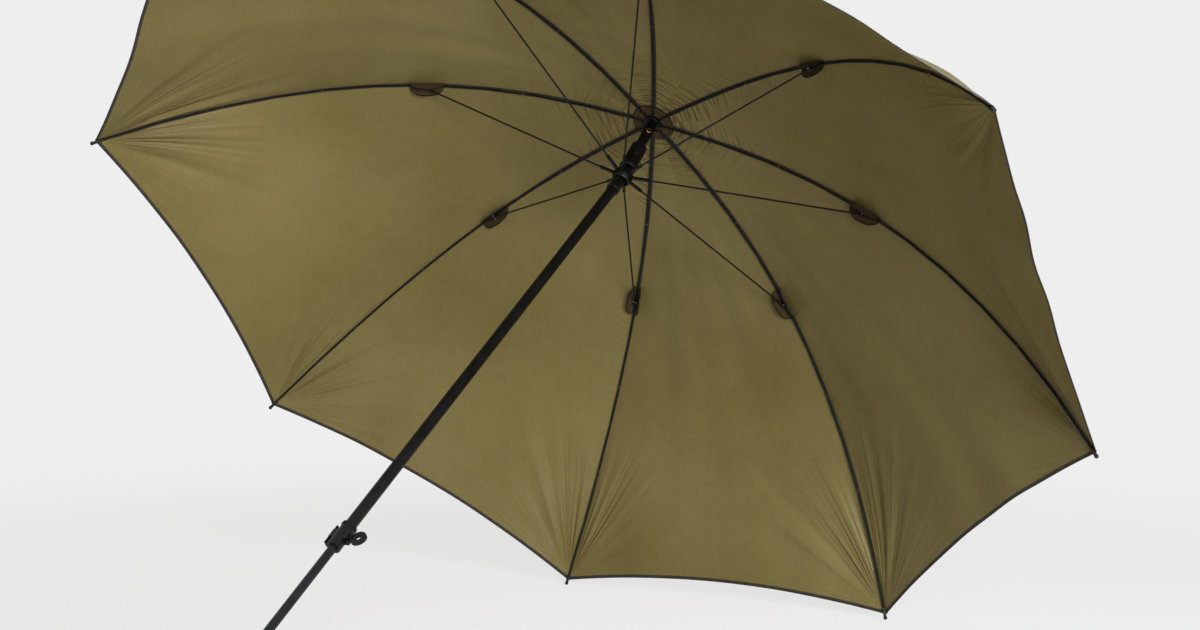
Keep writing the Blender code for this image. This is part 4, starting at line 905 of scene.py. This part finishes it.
# Ribs, stretchers and brackets: round spring steel, stove enamelled black. The enamel
# is satin, pulls thin at edges and shows faint drawn lines of the bar below it.
def enamelled(name, dark, light, rough_low, rough_high, grain_scale, metallic=0.0, depth=0.00002):
    """Finish with a mottled tone and a fine relief, given its two tones and its gloss."""
    material, tree, shader = new_material(name, {"Metallic": metallic,
                                                 "Specular IOR Level": 0.22})
    spot = add_node(tree, "ShaderNodeTexCoord")
    mottle = add_node(tree, "ShaderNodeTexNoise", {"Vector": spot.outputs["Object"],
                                                   "Scale": 38.0, "Detail": 5.0})
    grain = add_node(tree, "ShaderNodeTexNoise", {"Vector": spot.outputs["Object"],
                                                  "Scale": grain_scale, "Detail": 2.0})
    tone = add_node(tree, "ShaderNodeMath", {0: grain.outputs[0], 1: 0.4, 2: mottle.outputs[0]},
                    operation="MULTIPLY_ADD")
    rough = add_node(tree, "ShaderNodeMapRange", {0: tone.outputs[0], 1: 0.4, 2: 1.0,
                                                  3: rough_low, 4: rough_high})
    tree.links.new(rough.outputs[0], shader.inputs["Roughness"])
    coat_with(tree, shader, dyed(tree, tone.outputs[0], dark, light, 0.45), grain.outputs[0],
              0.5, depth)
    return material


def finish(material, *names):
    """Gives these nodes of the frame this material."""
    for name in names:
        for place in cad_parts[name].material_slots:
            place.material = material


rib_enamel = enamelled("stove_enamelled_steel", "#050505", "#0E0E0D", 0.38, 0.55, 900.0)
finish(rib_enamel, *(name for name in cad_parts
                     if name.startswith(("rib_", "stretcher_")) and "tip" not in name))

# Rib tips: small nylon caps, moulded grey black, scuffed where they touch the ground.
tip_nylon = enamelled("moulded_tip_nylon", "#0F0E0D", "#24211F", 0.4, 0.6, 500.0)
finish(tip_nylon, *(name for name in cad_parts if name.startswith("rib_tip")))

# Head, runner and clamp: glass-filled nylon mouldings with a fine spark-eroded grain.
nylon = enamelled("glass_filled_nylon", "#060606", "#101010", 0.32, 0.50, 1400.0, depth=0.00006)
finish(nylon, "crown", "top_cap", "tilt_housing", "runner_ball", "runner_sleeve",
       "clamp_collar", "clamp_screw")

# Tilt button: polished nylon, smoother than the housing around it.
button_nylon = enamelled("polished_nylon", "#0E0E10", "#19191C", 0.12, 0.2, 300.0)
finish(button_nylon, "tilt_button")

# Upper pole, neck and fork: steel tube, powder coated black, with drawn lines along it.
coat = enamelled("black_powder_coat", "#060606", "#0F0F0F", 0.32, 0.48, 700.0, depth=0.00004)
finish(coat, "upper_tube", "neck_tube", "pole_fork")

# Lower pole, plate and spike: fluted tube and pressed steel, darkened and oiled.
dark_steel = enamelled("black_oxide_steel", "#101011", "#1E1E20", 0.34, 0.5, 800.0, metallic=0.2)
finish(dark_steel, "lower_tube", "clamp_plate", "ground_spike")

# Hinge wire and tilt pin: bright drawn steel.
finish(plated, "hinge_wire", "tilt_pin")

# Neck eyelet: turned brass, lacquered, bright at the lip.
brass = enamelled("lacquered_brass", "#BE9654", "#F0D49A", 0.16, 0.32, 500.0, metallic=1.0)
finish(brass, "neck_eyelet")


# Housing trim: a smooth polished nylon ring round the lower lip of the tilt housing,
# where the housing ends above the knuckle; it catches a thin bright line of light.
ring_sizes = {"Ring radius": 0.0186, "Wire": 0.0010}
ring_tree, sizes_in, ring_end = new_tree("trim_ring", ring_sizes)
loop = add_node(ring_tree, "GeometryNodeCurvePrimitiveCircle", {"Resolution": 64,
                                                                "Radius": sizes_in["Ring radius"]})
cross = add_node(ring_tree, "GeometryNodeCurvePrimitiveCircle", {"Resolution": 10,
                                                                 "Radius": sizes_in["Wire"]})
loop = add_node(ring_tree, "GeometryNodeCurveToMesh", {"Curve": loop.outputs[0],
                                                       "Profile Curve": cross.outputs[0]})
ended(ring_tree, ring_end, loop, button_nylon)
lip_ring = grown("housing_lip_ring", ring_tree, ring_sizes)
lip_ring.data.transform(head_place @ Matrix.Translation((0, 0, -0.1462)))
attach(lip_ring, "head")
